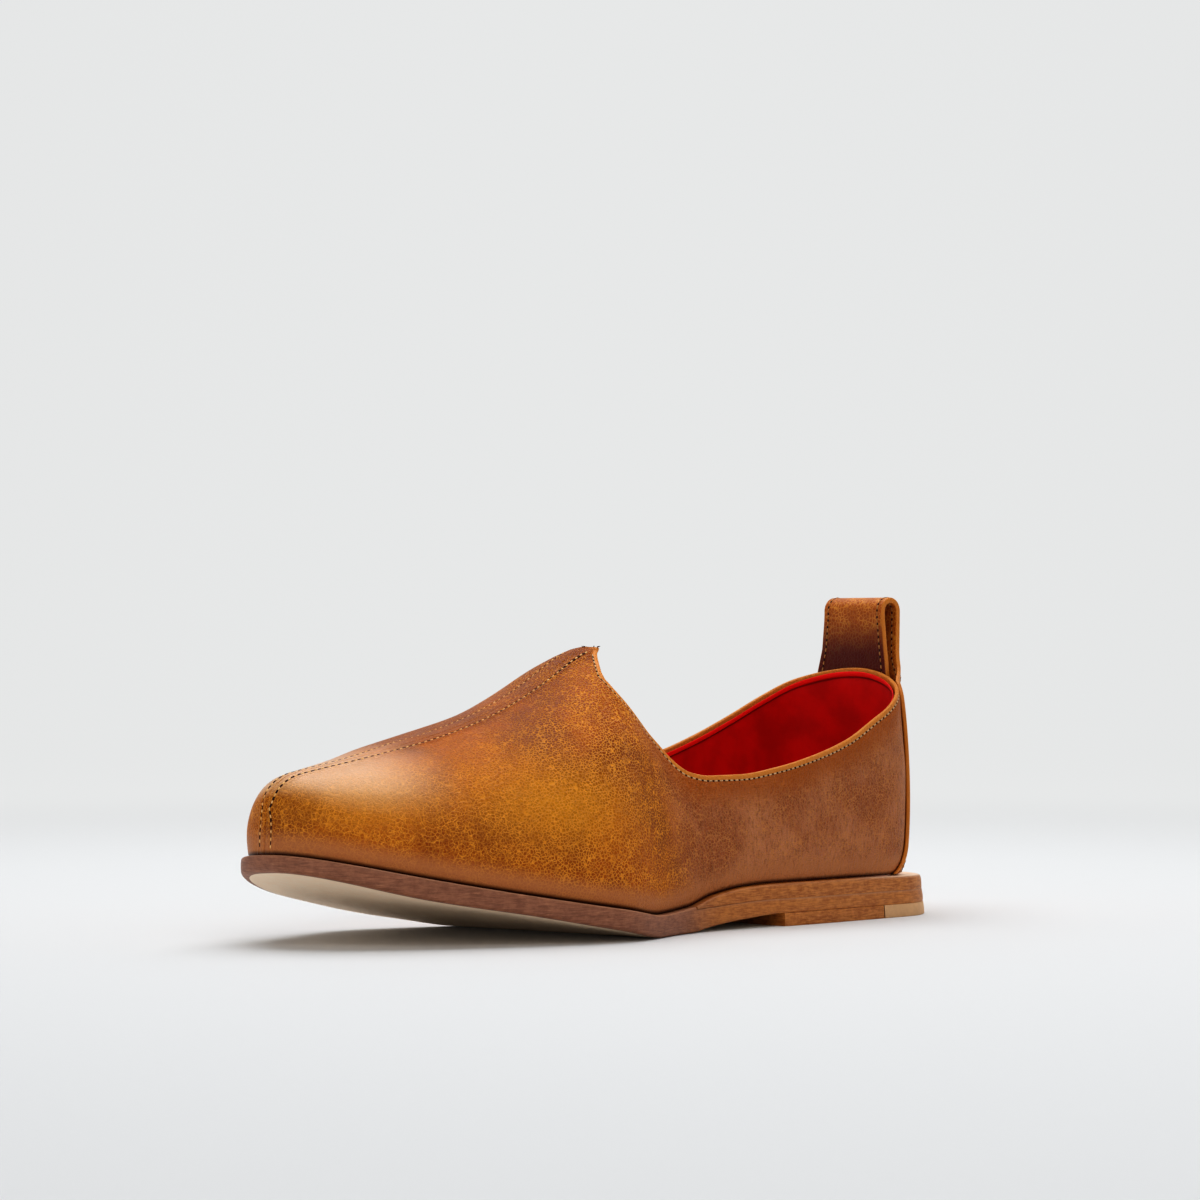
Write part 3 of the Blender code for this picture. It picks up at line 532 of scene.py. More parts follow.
def fold_depth(points, sides):
    """Troughs of the folds: a bell across each fold's line, fading out towards its two ends, with a
    lower swelling on both sides of it."""
    depth = np.zeros(len(points))
    for side, sa, za, sb, zb, deep, wide in CREASES:
        along = np.array([sb - sa, zb - za])
        length = np.linalg.norm(along)
        along = along / length
        rel = points[:, [0, 2]] - (sa, za)
        t = rel @ along / length
        wave = 1.6 * np.sin(3.1 * t + 0.7 * sa)
        d = (rel @ np.array([-along[1], along[0]]) + wave) / wide
        taper = np.clip(1.15 - np.abs(2.0 * t - 1.0) ** 2, 0.0, 1.0) ** 2
        bell = np.exp(-d * d) - 0.45 * np.exp(-((np.abs(d) - 1.7) / 0.8) ** 2)
        depth += np.where(sides == side, deep * bell * taper, 0.0)
    return depth


def finely(path):
    """A path with two places more between each two of its points."""
    share = np.linspace(0.0, len(path) - 1.0, 3 * len(path))
    k = np.minimum(share.astype(int), len(path) - 2)
    t = (share - k)[:, None]
    return path[k] * (1.0 - t) + path[k + 1] * t


def nearest_on(points, path, near):
    """Distance from each point to a fine path and which of its places is nearest, worked out only
    where near is true; elsewhere the distance is 99."""
    distance = np.full(len(points), 99.0)
    best = np.zeros(len(points), int)
    chosen = np.flatnonzero(near)
    for part in np.array_split(chosen, max(1, len(chosen) // 4000)):
        gap = np.linalg.norm(points[part][:, None, :] - path[None, :, :], axis=-1)
        best[part] = gap.argmin(axis=1)
        distance[part] = gap.min(axis=1)
    return distance, best


def onto_skin(tree, targets):
    """Each target's nearest place on a skin, with the skin's own normal there."""
    found = [tree.find_nearest(target.tolist()) for target in targets]
    return np.array([hit[0] for hit in found]), np.array([hit[1] for hit in found])


def handmade(points):
    """Slight unevenness of lasted leather: three long waves of a few tenths of a millimetre."""
    s, x, z = points.T
    return (0.10 * np.sin(s / 9.0 + 1.3 * np.sin(z / 14.0)) * np.sin(z / 8.0 + 0.05 * x)
            + 0.06 * np.sin(s / 4.1 + z / 5.3) + 0.05 * np.sin(z / 3.3 - s / 6.7))


# ---- making objects -------------------------------------------------------------------------------
def placed(points):
    """Station, x and z in millimetres to world metres, the sole's plan centred on the origin."""
    station, x, z = points[:, 0], points[:, 1], points[:, 2]
    return np.stack([x - PLAN_MIDDLE, LENGTH / 2.0 - station, z], axis=1) / 1000.0


def shown(name, data):
    """An object of a mesh, light or camera, in the scene."""
    item = bpy.data.objects.new(name, data)
    bpy.context.scene.collection.objects.link(item)
    return item


def make_piece(name, points, quads, look, slot=None, nodes=(), marks=None, sharp=None, extra=()):
    """A mesh at the origin from station, x and z; its doubles are merged and it rides on the root.

    marks are named numbers kept at the points, for the finish to read; sharp is the angle, in degrees,
    past which an edge is not smoothed; extra holds faces with more corners than four.
    """
    mesh = bpy.data.meshes.new(name)
    mesh.from_pydata(placed(points).tolist(), [], np.asarray(quads).tolist() + list(extra))
    for key, values in (marks or {}).items():
        layer = mesh.attributes.new(key, "FLOAT", "POINT")
        layer.data.foreach_set("value", np.asarray(values, np.float32))
    work = bmesh.new()
    work.from_mesh(mesh)
    bmesh.ops.remove_doubles(work, verts=work.verts, dist=2e-6)
    bmesh.ops.dissolve_degenerate(work, edges=work.edges, dist=1e-7)
    work.to_mesh(mesh)
    work.free()
    mesh.shade_smooth()
    if sharp is not None:
        mesh.set_sharp_from_angle(angle=math.radians(sharp))
    mesh.materials.append(look)
    item = shown(name, mesh)
    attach(item, "root")
    if nodes:
        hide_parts(*nodes)
    return item


def make_tube(name, rings, look, slot, nodes, marks, sharp=None, caps=(), flip=False):
    """A piece of closed rings, one after another; caps names the ends that get a face, and flip turns
    its faces over."""
    grid = ring_grid(*rings.shape[:2])
    ends = {"first": grid[0, -2::-1], "last": grid[-1, :-1]}
    extra = [ends[cap][::-1 if flip else 1].tolist() for cap in caps]
    marks = {key: values.reshape(-1) for key, values in marks.items()}
    make_piece(name, rings.reshape(-1, 3), grid_quads(grid, flip), look, slot, nodes, marks, sharp, extra)


def frames_along(path, normals, pitch, start=0.0):
    """Evenly spaced places on a path: middle, direction, outward normal and the sideways direction."""
    run = np.concatenate([[0.0], np.cumsum(np.linalg.norm(np.diff(path, axis=0), axis=1))])
    at = np.arange(start + pitch / 2.0, run[-1] - pitch / 4.0, pitch)

    def read(values, where):
        return np.stack([np.interp(where, run, values[:, k]) for k in range(3)], axis=1)

    direction = read(path, at + 0.3 * pitch) - read(path, at - 0.3 * pitch)
    direction /= np.linalg.norm(direction, axis=1)[:, None]
    out = read(normals, at)
    out -= direction * np.sum(out * direction, axis=1)[:, None]
    out /= np.linalg.norm(out, axis=1)[:, None]
    return read(path, at), direction, out, np.cross(out, direction)


def repeated(unit, faces, middle, direction, out, sideways):
    """A small shape set down at every frame: its three axes follow the path, the side and the normal."""
    points = (middle[:, None, :] + unit[None, :, 0:1] * direction[:, None, :]
              + unit[None, :, 1:2] * sideways[:, None, :] + unit[None, :, 2:3] * out[:, None, :])
    offset = (np.arange(len(middle)) * len(unit))[:, None, None]
    return points.reshape(-1, 3), (faces[None] + offset).reshape(-1, 4)


def pill(length, width, height, rise, droop, rings):
    """A small closed bead: rings of an ellipse whose radius follows half a circle's sine along it;
    its middle line stands at rise and droops by a square law towards its ends."""
    t = np.linspace(0.0, math.pi, rings)[:, None]
    a = np.linspace(0.0, 2.0 * math.pi, BEAD_SIDES, endpoint=False)[None, :]
    along = -0.5 * length * np.cos(t) + 0.0 * a
    size = np.where(np.sin(t) > 0.01, np.sin(t), 0.0) ** 0.6
    side = 0.5 * width * size * np.cos(a)
    up = 0.5 * height * size * np.sin(a) + rise - droop * np.cos(t) ** 2
    return np.stack([along, side, up], axis=-1).reshape(-1, 3), grid_quads(ring_grid(rings, BEAD_SIDES))


def thread_rows(name, rows, pitch, hole_long, look, hole_look):
    """Rows of stitches: a bead of thread between each two needle holes, and at each hole a dark bead of
    painted shadow.
    """
    stitch = pill(pitch - 0.9 * hole_long, THREAD_WIDTH, THREAD_HIGH, 0.08, 0.16, 6)
    hole = pill(hole_long, HOLE_WIDE, HOLE_HIGH, 0.03, 0.0, 5)
    for kind, bead, start, paint in (("thread", stitch, 0.0, look), ("holes", hole, pitch / 2.0, hole_look)):
        made = [repeated(*bead, *frames_along(path, normals, pitch, start)) for path, normals in rows]
        make_piece(f"{name}_{kind}", *joined(made), paint)


# ---- finishes -------------------------------------------------------------------------------------
def linear(code):
    """An sRGB hex colour as linear red, green, blue and 1."""
    parts = [int(code[k:k + 2], 16) / 255.0 for k in (1, 3, 5)]
    return (*[p / 12.92 if p <= 0.04045 else ((p + 0.055) / 1.055) ** 2.4 for p in parts], 1.0)


def node(tree, kind, inputs=None, out=0, **settings):
    """Adds a shader node: its settings, then each input as a number, a hex colour or another node's
    output; gives back one of its outputs."""
    made = tree.nodes.new("ShaderNode" + kind)
    for key, value in settings.items():
        setattr(made, key, value)
    for key, value in (inputs or {}).items():
        if isinstance(value, bpy.types.NodeSocket):
            tree.links.new(value, made.inputs[key])
        else:
            made.inputs[key].default_value = linear(value) if isinstance(value, str) else value
    return made.outputs[out]


# settings of a Mix node for two colours, and of a Map Range node that starts and ends softly
COLOURS = {"out": 2, "data_type": "RGBA"}
EASED = {"interpolation_type": "SMOOTHSTEP"}


def new_look(name, **values):
    """A material with its Principled shader; values are the shader's own sockets."""
    look = bpy.data.materials.new(name)
    look.use_nodes = True
    tree = look.node_tree
    shader = tree.nodes["Principled BSDF"]
    for key, value in values.items():
        shader.inputs[key.replace("_", " ")].default_value = value
    return look, tree, shader


def grain(tree, coords, size, stray):
    """Leather's pebbles: distance to the nearest cell wall, in cells of a size in millimetres whose
    walls are led astray by a finer noise."""
    finer = 1000.0 / (2.2 * size)
    drift = node(tree, "TexNoise", {"Vector": coords, "Scale": finer, "Detail": 2.0}, "Color")
    centred = node(tree, "VectorMath", {0: drift, 1: (0.5, 0.5, 0.5)}, operation="SUBTRACT")
    led = node(tree, "VectorMath", {0: centred, "Scale": stray / 1000.0}, operation="SCALE")
    moved = node(tree, "VectorMath", {0: coords, 1: led}, operation="ADD")
    return node(tree, "TexVoronoi", {"Vector": moved, "Scale": 1000.0 / size}, "Distance",
                feature="DISTANCE_TO_EDGE")


def waxed_leather():
    """Vegetable-tanned cow leather, drum-pebbled, waxed and burnished by hand: dark brown pebbles with
    thin ochre creases between them where the wax has pulled up, and a soft broad shine."""
    look, tree, shader = new_look("waxed_pebbled_leather", IOR=1.36, Specular_IOR_Level=0.36,
                                  Coat_Roughness=0.4)
    coords = node(tree, "TexCoord", out="Object")
    rim, foot, rear, ochre, coarse, calm, upward = (
        node(tree, "Attribute", out="Fac", attribute_name=name)
        for name in ("rim", "foot", "rear", "ochre", "coarse", "calm", "upward"))
    cloud = node(tree, "TexNoise", {"Vector": coords, "Scale": 30.0, "Detail": 3.0, "Roughness": 0.55})
    patch = node(tree, "TexNoise", {"Vector": coords, "Scale": 170.0, "Detail": 3.0, "Roughness": 0.6})
    speck = node(tree, "TexNoise", {"Vector": coords, "Scale": 900.0, "Detail": 2.0, "Roughness": 0.6})

    # pebbles of two sizes: the coarse ones lie along the sides of the toe
    wide = node(tree, "MapRange", {0: grain(tree, coords, 1.6, 1.1), 1: 0.0, 2: 0.13}, **EASED)
    close = node(tree, "MapRange", {0: grain(tree, coords, 1.1, 0.5), 1: 0.0, 2: 0.2}, **EASED)
    halves = node(tree, "Mix", {0: 0.42, 2: wide, 3: close})
    pebble = node(tree, "Mix", {0: coarse, 2: close, 3: halves})
    crease = node(tree, "Math", {0: 1.0, 1: pebble}, operation="SUBTRACT")
    uneven = node(tree, "MapRange", {0: patch, 1: 0.30, 2: 0.62, 3: 0.45, 4: 1.0}, **EASED)
    crease = node(tree, "Math", {0: crease, 1: uneven}, operation="MULTIPLY")
    loud = node(tree, "Math", {0: 1.0, 1: calm}, operation="SUBTRACT")
    crease = node(tree, "Math", {0: crease, 1: loud}, operation="MULTIPLY")

    # the pebbles' own brown, redder in patches, and the ochre of the creases
    tone = node(tree, "MapRange", {0: cloud, 1: 0.36, 2: 0.64}, **EASED)
    brown = node(tree, "Mix", {0: tone, 6: "#863A06", 7: "#B65C0C"}, **COLOURS)
    brown = node(tree, "Mix", {0: ochre, 6: brown, 7: "#E2981E"}, **COLOURS)
    worn = node(tree, "MapRange", {0: speck, 1: 0.35, 2: 0.70, 3: 0.0, 4: 0.35}, **EASED)
    brown = node(tree, "Mix", {0: worn, 6: brown, 7: "#7E360A"}, **COLOURS)
    quarter = node(tree, "Mix", {0: tone, 6: "#A45E36", 7: "#C8865E"}, **COLOURS)
    drawn = node(tree, "Mapping", {"Vector": coords, "Scale": (1050.0, 1050.0, 330.0)})
    wrinkle = node(tree, "TexNoise", {"Vector": drawn, "Scale": 1.0, "Detail": 2.0, "Roughness": 0.55})
    fold = node(tree, "MapRange", {0: wrinkle, 1: 0.46, 2: 0.66, 3: 0.0, 4: 0.42}, **EASED)
    quarter = node(tree, "Mix", {0: fold, 6: quarter, 7: "#743610"}, **COLOURS)
    brown = node(tree, "Mix", {0: rear, 6: brown, 7: quarter}, **COLOURS)
    bright = node(tree, "Mix", {0: rear, 6: "#EA9E34", 7: "#CC8A50"}, **COLOURS)
    colour = node(tree, "Mix", {0: crease, 6: brown, 7: bright}, **COLOURS)

    # the top of the toe gets a stronger coat, and where it faces up a painted highlight makes its colour
    # paler
    ahead = node(tree, "SeparateXYZ", {"Vector": coords}, "Y")
    toe_coat_and_highlight = node(tree, "MapRange", {0: ahead, 1: -0.085, 2: -0.120}, **EASED)
    toe_coat_and_highlight = node(tree, "Math", {0: toe_coat_and_highlight, 1: upward}, operation="MULTIPLY")
    tree.links.new(toe_coat_and_highlight, shader.inputs["Coat Weight"])
    # painted highlight: the colour is lightened towards pale tan on the toe's upward faces
    painted_toe_highlight = node(tree, "Math", {0: toe_coat_and_highlight, 1: 0.5}, operation="MULTIPLY")
    colour = node(tree, "Mix", {0: painted_toe_highlight, 6: colour, 7: "#ECB87C"}, **COLOURS)

    # more wax is left in a soft band under the collar's stitches
    under = node(tree, "MapRange", {0: rim, 1: 3.0, 2: 14.0, 3: 0.75, 4: 0.0}, **EASED)
    under = node(tree, "Math", {0: under, 1: rear}, operation="MULTIPLY")
    colour = node(tree, "Mix", {0: under, 6: colour, 7: "#AE5A06"}, **COLOURS)

    # rubbed bright along the collar's edge, dull and pale in a band above the sole, and darkened at the foot
    # by a painted contact shadow
    edge = node(tree, "MapRange", {0: rim, 1: 0.7, 2: 2.0, 3: 0.8, 4: 0.0}, **EASED)
    colour = node(tree, "Mix", {0: edge, 6: colour, 7: "#DC9040"}, **COLOURS)
    band = node(tree, "MapRange", {0: foot, 1: 3.5, 2: 10.0, 3: 0.8, 4: 0.0}, **EASED)
    colour = node(tree, "Mix", {0: band, 6: colour, 7: "#BE7E50"}, **COLOURS)
    # painted shadow: the foot is darkened where the upper meets the sole
    painted_foot_shadow = node(tree, "MapRange", {0: foot, 1: 0.2, 2: 1.8, 3: 0.9, 4: 0.0}, **EASED)
    colour = node(tree, "Mix", {0: painted_foot_shadow, 6: colour, 7: "#2A1208"}, **COLOURS)
    tree.links.new(colour, shader.inputs["Base Color"])
    rough = node(tree, "MapRange", {0: patch, 1: 0.25, 2: 0.75, 3: 0.36, 4: 0.52})
    tree.links.new(rough, shader.inputs["Roughness"])

    # relief: pebbles, fine upright wrinkles behind the vamp, and the grain's own tooth
    fade = node(tree, "Math", {0: band, 1: edge}, operation="MAXIMUM")
    keep = node(tree, "MapRange", {0: fade, 1: 0.0, 2: 0.9, 3: 1.0, 4: 0.15})
    relief = node(tree, "Math", {0: pebble, 1: keep}, operation="MULTIPLY")
    relief = node(tree, "Bump", {"Height": relief, "Strength": 0.6, "Distance": 0.0004})
    wrinkle = node(tree, "Math", {0: wrinkle, 1: rear}, operation="MULTIPLY")
    relief = node(tree, "Bump", {"Height": wrinkle, "Strength": 0.85, "Distance": 0.0008, "Normal": relief})
    relief = node(tree, "Bump", {"Height": speck, "Strength": 0.2, "Distance": 0.0002, "Normal": relief})
    tree.links.new(relief, shader.inputs["Normal"])
    return look


def strap_leather():
    """The same waxed leather cut as a strap, with painted shade darkening the loop's hidden inner leg
    towards its foot, its cut edges dyed orange.
    """
    look, tree, shader = new_look("waxed_strap_leather", Roughness=0.42, Specular_IOR_Level=0.3,
                                  Coat_Weight=0.03, Coat_Roughness=0.32)
    coords = node(tree, "TexCoord", out="Object")
    cut = node(tree, "Attribute", out="Fac", attribute_name="cut")
    shade = node(tree, "Attribute", out="Fac", attribute_name="shade")
    patch = node(tree, "TexNoise", {"Vector": coords, "Scale": 190.0, "Detail": 3.0})
    pebble = node(tree, "MapRange", {0: grain(tree, coords, 1.5, 1.1), 1: 0.0, 2: 0.2}, **EASED)
    crease = node(tree, "Math", {0: 1.0, 1: pebble}, operation="SUBTRACT")
    uneven = node(tree, "MapRange", {0: patch, 1: 0.35, 2: 0.65, 3: 0.3, 4: 1.0}, **EASED)
    crease = node(tree, "Math", {0: crease, 1: uneven}, operation="MULTIPLY")
    brown = node(tree, "Mix", {0: patch, 6: "#A05014", 7: "#C06C22"}, **COLOURS)
    # painted shade: pebbles and creases turn dark down the loop's inner leg
    brown = node(tree, "Mix", {0: shade, 6: brown, 7: "#5A1004"}, **COLOURS)
    bright = node(tree, "Mix", {0: shade, 6: "#D8923C", 7: "#5C200C"}, **COLOURS)
    colour = node(tree, "Mix", {0: crease, 6: brown, 7: bright}, **COLOURS)
    dyed = node(tree, "Math", {0: cut, 1: 0.9}, operation="MULTIPLY")
    colour = node(tree, "Mix", {0: dyed, 6: colour, 7: "#D08434"}, **COLOURS)
    tree.links.new(colour, shader.inputs["Base Color"])
    relief = node(tree, "Bump", {"Height": pebble, "Strength": 0.45, "Distance": 0.0002})
    tree.links.new(relief, shader.inputs["Normal"])
    return look


def lining_leather():
    """Dyed red lining, thin and close, with a painted highlight making its folded top band brighter than the
    rest and a painted dark line of shade in the furrow below it.
    """
    look, tree, shader = new_look("red_lining_leather", Roughness=0.6, IOR=1.3, Sheen_Weight=0.05,
                                  Sheen_Roughness=0.5)
    coords = node(tree, "TexCoord", out="Object")
    band = node(tree, "Attribute", out="Fac", attribute_name="band")
    line = node(tree, "Attribute", out="Fac", attribute_name="line")
    cloud = node(tree, "TexNoise", {"Vector": coords, "Scale": 70.0, "Detail": 4.0})
    nap = node(tree, "TexNoise", {"Vector": coords, "Scale": 1400.0, "Detail": 2.0})
    tone = node(tree, "MapRange", {0: cloud, 1: 0.3, 2: 0.7}, **EASED)
    colour = node(tree, "Mix", {0: tone, 6: "#C20403", 7: "#DE0805"}, **COLOURS)
    # painted highlight on the folded top band
    colour = node(tree, "Mix", {0: band, 6: colour, 7: "#FF1E1C"}, **COLOURS)
    # painted shade along the furrow under the band
    line = node(tree, "Math", {0: line, 1: 0.75}, operation="MULTIPLY")
    colour = node(tree, "Mix", {0: line, 6: colour, 7: "#3A0103"}, **COLOURS)
    tree.links.new(colour, shader.inputs["Base Color"])
    relief = node(tree, "Bump", {"Height": nap, "Strength": 0.3, "Distance": 0.0002})
    tree.links.new(relief, shader.inputs["Normal"])
    return look


def edge_leather(name, ahead, behind):
    """Edge of vegetable-tanned sole leather, sanded, inked and burnished: fibres run along the sole as
    short streaks between each pair of browns; its tread face is left pale and close."""
    look, tree, shader = new_look(name, IOR=1.45)
    coords = node(tree, "TexCoord", out="Object")
    heel, pale, bead = (node(tree, "Attribute", out="Fac", attribute_name=key)
                        for key in ("heel", "pale", "bead"))
    flat = node(tree, "Mapping", {"Vector": coords, "Scale": (220.0, 220.0, 1900.0)})
    fibre = node(tree, "TexNoise", {"Vector": flat, "Scale": 1.0, "Detail": 5.0, "Roughness": 0.65})
    mottle = node(tree, "TexNoise", {"Vector": coords, "Scale": 320.0, "Detail": 4.0, "Roughness": 0.7})
    both = node(tree, "Mix", {0: 0.4, 2: fibre, 3: mottle})
    share = node(tree, "MapRange", {0: both, 1: 0.36, 2: 0.64}, **EASED)
    front = node(tree, "Mix", {0: share, 6: ahead[0], 7: ahead[1]}, **COLOURS)
    rear = node(tree, "Mix", {0: share, 6: behind[0], 7: behind[1]}, **COLOURS)
    colour = node(tree, "Mix", {0: heel, 6: front, 7: rear}, **COLOURS)
    streak = node(tree, "MapRange", {0: fibre, 1: 0.60, 2: 0.75, 3: 0.0, 4: 0.4}, **EASED)
    colour = node(tree, "Mix", {0: streak, 6: colour, 7: "#C89C74"}, **COLOURS)
    rubbed = node(tree, "Math", {0: bead, 1: 0.6}, operation="MULTIPLY")
    colour = node(tree, "Mix", {0: rubbed, 6: colour, 7: "#B88A6A"}, **COLOURS)
    tan = node(tree, "Mix", {0: mottle, 6: "#FFE0C0", 7: "#FFF0DA"}, **COLOURS)
    colour = node(tree, "Mix", {0: pale, 6: colour, 7: tan}, **COLOURS)
    tree.links.new(colour, shader.inputs["Base Color"])
    tree.links.new(node(tree, "MapRange", {0: pale, 3: 0.46, 4: 0.6}), shader.inputs["Roughness"])
    relief = node(tree, "Bump", {"Height": share, "Strength": 0.35, "Distance": 0.00015})
    tree.links.new(relief, shader.inputs["Normal"])
    return look


def plain_look(name, first, second, size, roughness, relief=0.3, **values):
    """A close-grained finish: two near colours in clouds of a size in millimetres, and a fine relief."""
    look, tree, shader = new_look(name, Roughness=roughness, **values)
    coords = node(tree, "TexCoord", out="Object")
    scale = 1000.0 / size
    cloud = node(tree, "TexNoise", {"Vector": coords, "Scale": scale, "Detail": 4.0, "Roughness": 0.6})
    tone = node(tree, "MapRange", {0: cloud, 1: 0.3, 2: 0.7}, **EASED)
    colour = node(tree, "Mix", {0: tone, 6: first, 7: second}, **COLOURS)
    tree.links.new(colour, shader.inputs["Base Color"])
    bump = node(tree, "Bump", {"Height": cloud, "Strength": relief, "Distance": 0.0002})
    tree.links.new(bump, shader.inputs["Normal"])
    return look


# ---- upper ----------------------------------------------------------------------------------------
def upper_lift(points, sides, vamp, rim, foot):
    """How far the outer face stands off the skin, and how far the stitches lie from the centre seam.

    A band along the seam is raised, with a groove down its middle and a bell-shaped furrow for each
    row of stitches; the collar has a furrow with a swelling below it; folds and slight waves die out
    towards every edge.
    """
    off = np.abs(points[:, 1] - last("seam_x", points[:, 0]))
    stitch = SEAM_STITCH + SEAM_SPREAD * (sides < 0.0) * smooth_step(-points[:, 0], -262.0, -235.0)
    raised = 1.0 - smooth_step(off, stitch + 0.5, stitch + 1.9)
    groove = np.clip(1.0 - off / 0.55, 0.0, 1.0) * (0.3 + 0.7 * smooth_step(points[:, 0], 240.0, 265.0))
    furrow = np.exp(-((off - stitch) / 0.5) ** 2)
    lift = vamp * (SEAM_RAISE * raised - SEAM_GROOVE * groove - 0.3 * furrow)
    hem = np.exp(-((rim - STITCH_IN) / 0.55) ** 2)
    swell = np.exp(-((rim - STITCH_IN - 2.2) / 1.2) ** 2)
    quiet = smooth_step(rim, 2.0, 9.0) * smooth_step(foot, 2.0, 9.0)
    quiet *= 1.0 - vamp * np.exp(-(off / 5.0) ** 2)
    waves = handmade(points) - fold_depth(points, sides)
    return lift - 0.22 * hem + 0.14 * swell + quiet * waves, stitch


def rim_upwards(points, normals, index, throat):
    """The way the rim stands up on each side, square to its path and to the skin's normal; the sides
    share one direction at the centre back and at the beak's tip."""
    up = {}
    for side in (1, -1):
        edge = index[side][:throat + 1, -1]
        out = np.cross(np.gradient(points[edge], axis=0), normals[edge]) * side
        up[side] = out / np.linalg.norm(out, axis=1)[:, None]
    for row in (0, throat):
        both = up[1][row] + up[-1][row]
        up[1][row] = up[-1][row] = both / np.linalg.norm(both)
    return up


def upper_wall(outer, points, normals, rim, foot, index, throat, up):
    """The whole wall of the upper: its outer face, half a round over the rim, an inner face one
    leather's thickness in from the skin, and the foot that closes them underneath.  Gives its points,
    their distances from the rim and above the foot, its quads, and the quads of the outer face."""
    outside = turned_out(outer, np.concatenate([grid_quads(index[1]), grid_quads(index[-1], True)]), normals)
    inward = normals.copy()
    foots = np.concatenate([index[1][:, 0], index[-1][:, 0]])
    inward[foots, 2] = 0.0
    inward[foots] /= np.linalg.norm(inward[foots], axis=1)[:, None]
    swing = np.linspace(0.0, math.pi, 9)[1:]
    columns = list(range(len(index[1][0]) - 1, 0, -9)) + [0]
    pieces, quads, count = [(outer, rim, foot)], [outside], len(outer)
    for side in (1, -1):
        edge = index[side][:throat + 1, -1]
        half = normals[edge][:, None, :] * LEATHER / 2.0
        roll = (outer[edge][:, None, :] - half + half * np.cos(swing)[None, :, None]
                + up[side][:, None, :] * RIM_ROUND * np.sin(swing)[None, :, None])
        size = roll.shape[0] * roll.shape[1]
        pieces.append((roll.reshape(-1, 3), np.zeros(size), np.full(size, CLEAR_OF_FOOT)))
        roll_index = count + np.arange(size).reshape(roll.shape[:2])
        count += size
        quads.append(grid_quads(np.concatenate([edge[:, None], roll_index], axis=1), side < 0))
        inner = index[side][:, columns]
        wall = points[inner] - inward[inner] * LEATHER
        wall[:throat + 1, 0] = roll[:, -1]
        inner_index = count + np.arange(inner.size).reshape(inner.shape)
        pieces.append((wall.reshape(-1, 3), rim[inner].reshape(-1), np.full(inner.size, CLEAR_OF_FOOT)))
        count += inner.size
        back = np.zeros((count, 3))
        back[inner_index] = -inward[inner]
        everything = np.concatenate([piece[0] for piece in pieces])
        quads.append(turned_out(everything, grid_quads(inner_index, side < 0), back))
        quads.append(grid_quads(np.stack([inner_index[:, -1], index[side][:, 0]], axis=1), side < 0))
    return *(np.concatenate(parts) for parts in zip(*pieces)), np.concatenate(quads), outside


def leather_marks(solid, upright, rim, foot):
    """What the leather's finish reads: distances from the rim and above the foot, how far behind the
    vamp, two soft ochre clouds on the vamp, where the grain is coarse or calm, and what faces up."""
    station, _, height = solid.T
    rear = smooth_step(-station, -160.0, -130.0)
    ochre = np.exp(-(((station - 205.0) / 30.0) ** 2 + ((height - 47.0) / 14.0) ** 2))
    ochre += 0.8 * np.exp(-(((station - 268.0) / 20.0) ** 2 + ((height - 48.0) / 9.0) ** 2))
    calm = np.maximum(0.6 * smooth_step(upright, 0.72, 0.97), 0.15 * rear)
    return {"rim": rim, "foot": foot, "rear": rear, "ochre": 0.8 * np.clip(ochre, 0.0, 1.0),
            "coarse": smooth_step(station, 196.0, 248.0), "calm": calm,
            "upward": smooth_step(upright, 0.3, 0.7)}


def collar_row(tree, place, rim_up):
    """The collar's stitches: a set distance below the rim, stopping clear of the centre seam."""
    row, out = onto_skin(tree, place - rim_up * STITCH_IN)
    clear = np.abs(row[:, 1] - last("seam_x", row[:, 0])) > 1.9
    clear |= row[:, 0] < THROAT - 2.0 * BEAK
    return row[clear], out[clear]


def seam_rows(outer, normals, index, throat, stitch, foot):
    """The stitches beside the centre seam, one row on each side.  Over the vamp a row is read between
    the two columns that lie its distance from the seam; from the nose it runs down a single one."""
    column_at = RISE_COUNT + END_MARKS.index(SEAM_STITCH)
    marks = np.array(END_MARKS[::-1])
    rows = []
    for side in (1, -1):
        grid = outer[index[side]]
        spread = np.abs(grid[..., 1] - last("seam_x", grid[..., 0])).max(axis=1)
        turn = int(np.flatnonzero(spread > SEAM_STITCH)[-1])
        down = index[side][turn, column_at::-1]
        down = down[foot[down] > 1.6]
        over = index[side][throat + 1:turn]
        apart = np.interp(stitch[over[:, column_at]], marks, np.arange(len(marks)))
        first = RISE_COUNT + len(marks) - 1 - apart.astype(int)
        share = (apart - apart.astype(int))[:, None]
        row = np.arange(len(over))
        near, far = over[row, first], over[row, first - 1]
        rows.append(tuple(np.concatenate([values[near] * (1.0 - share) + values[far] * share, values[down]])
                          for values in (outer, normals)))
    return rows


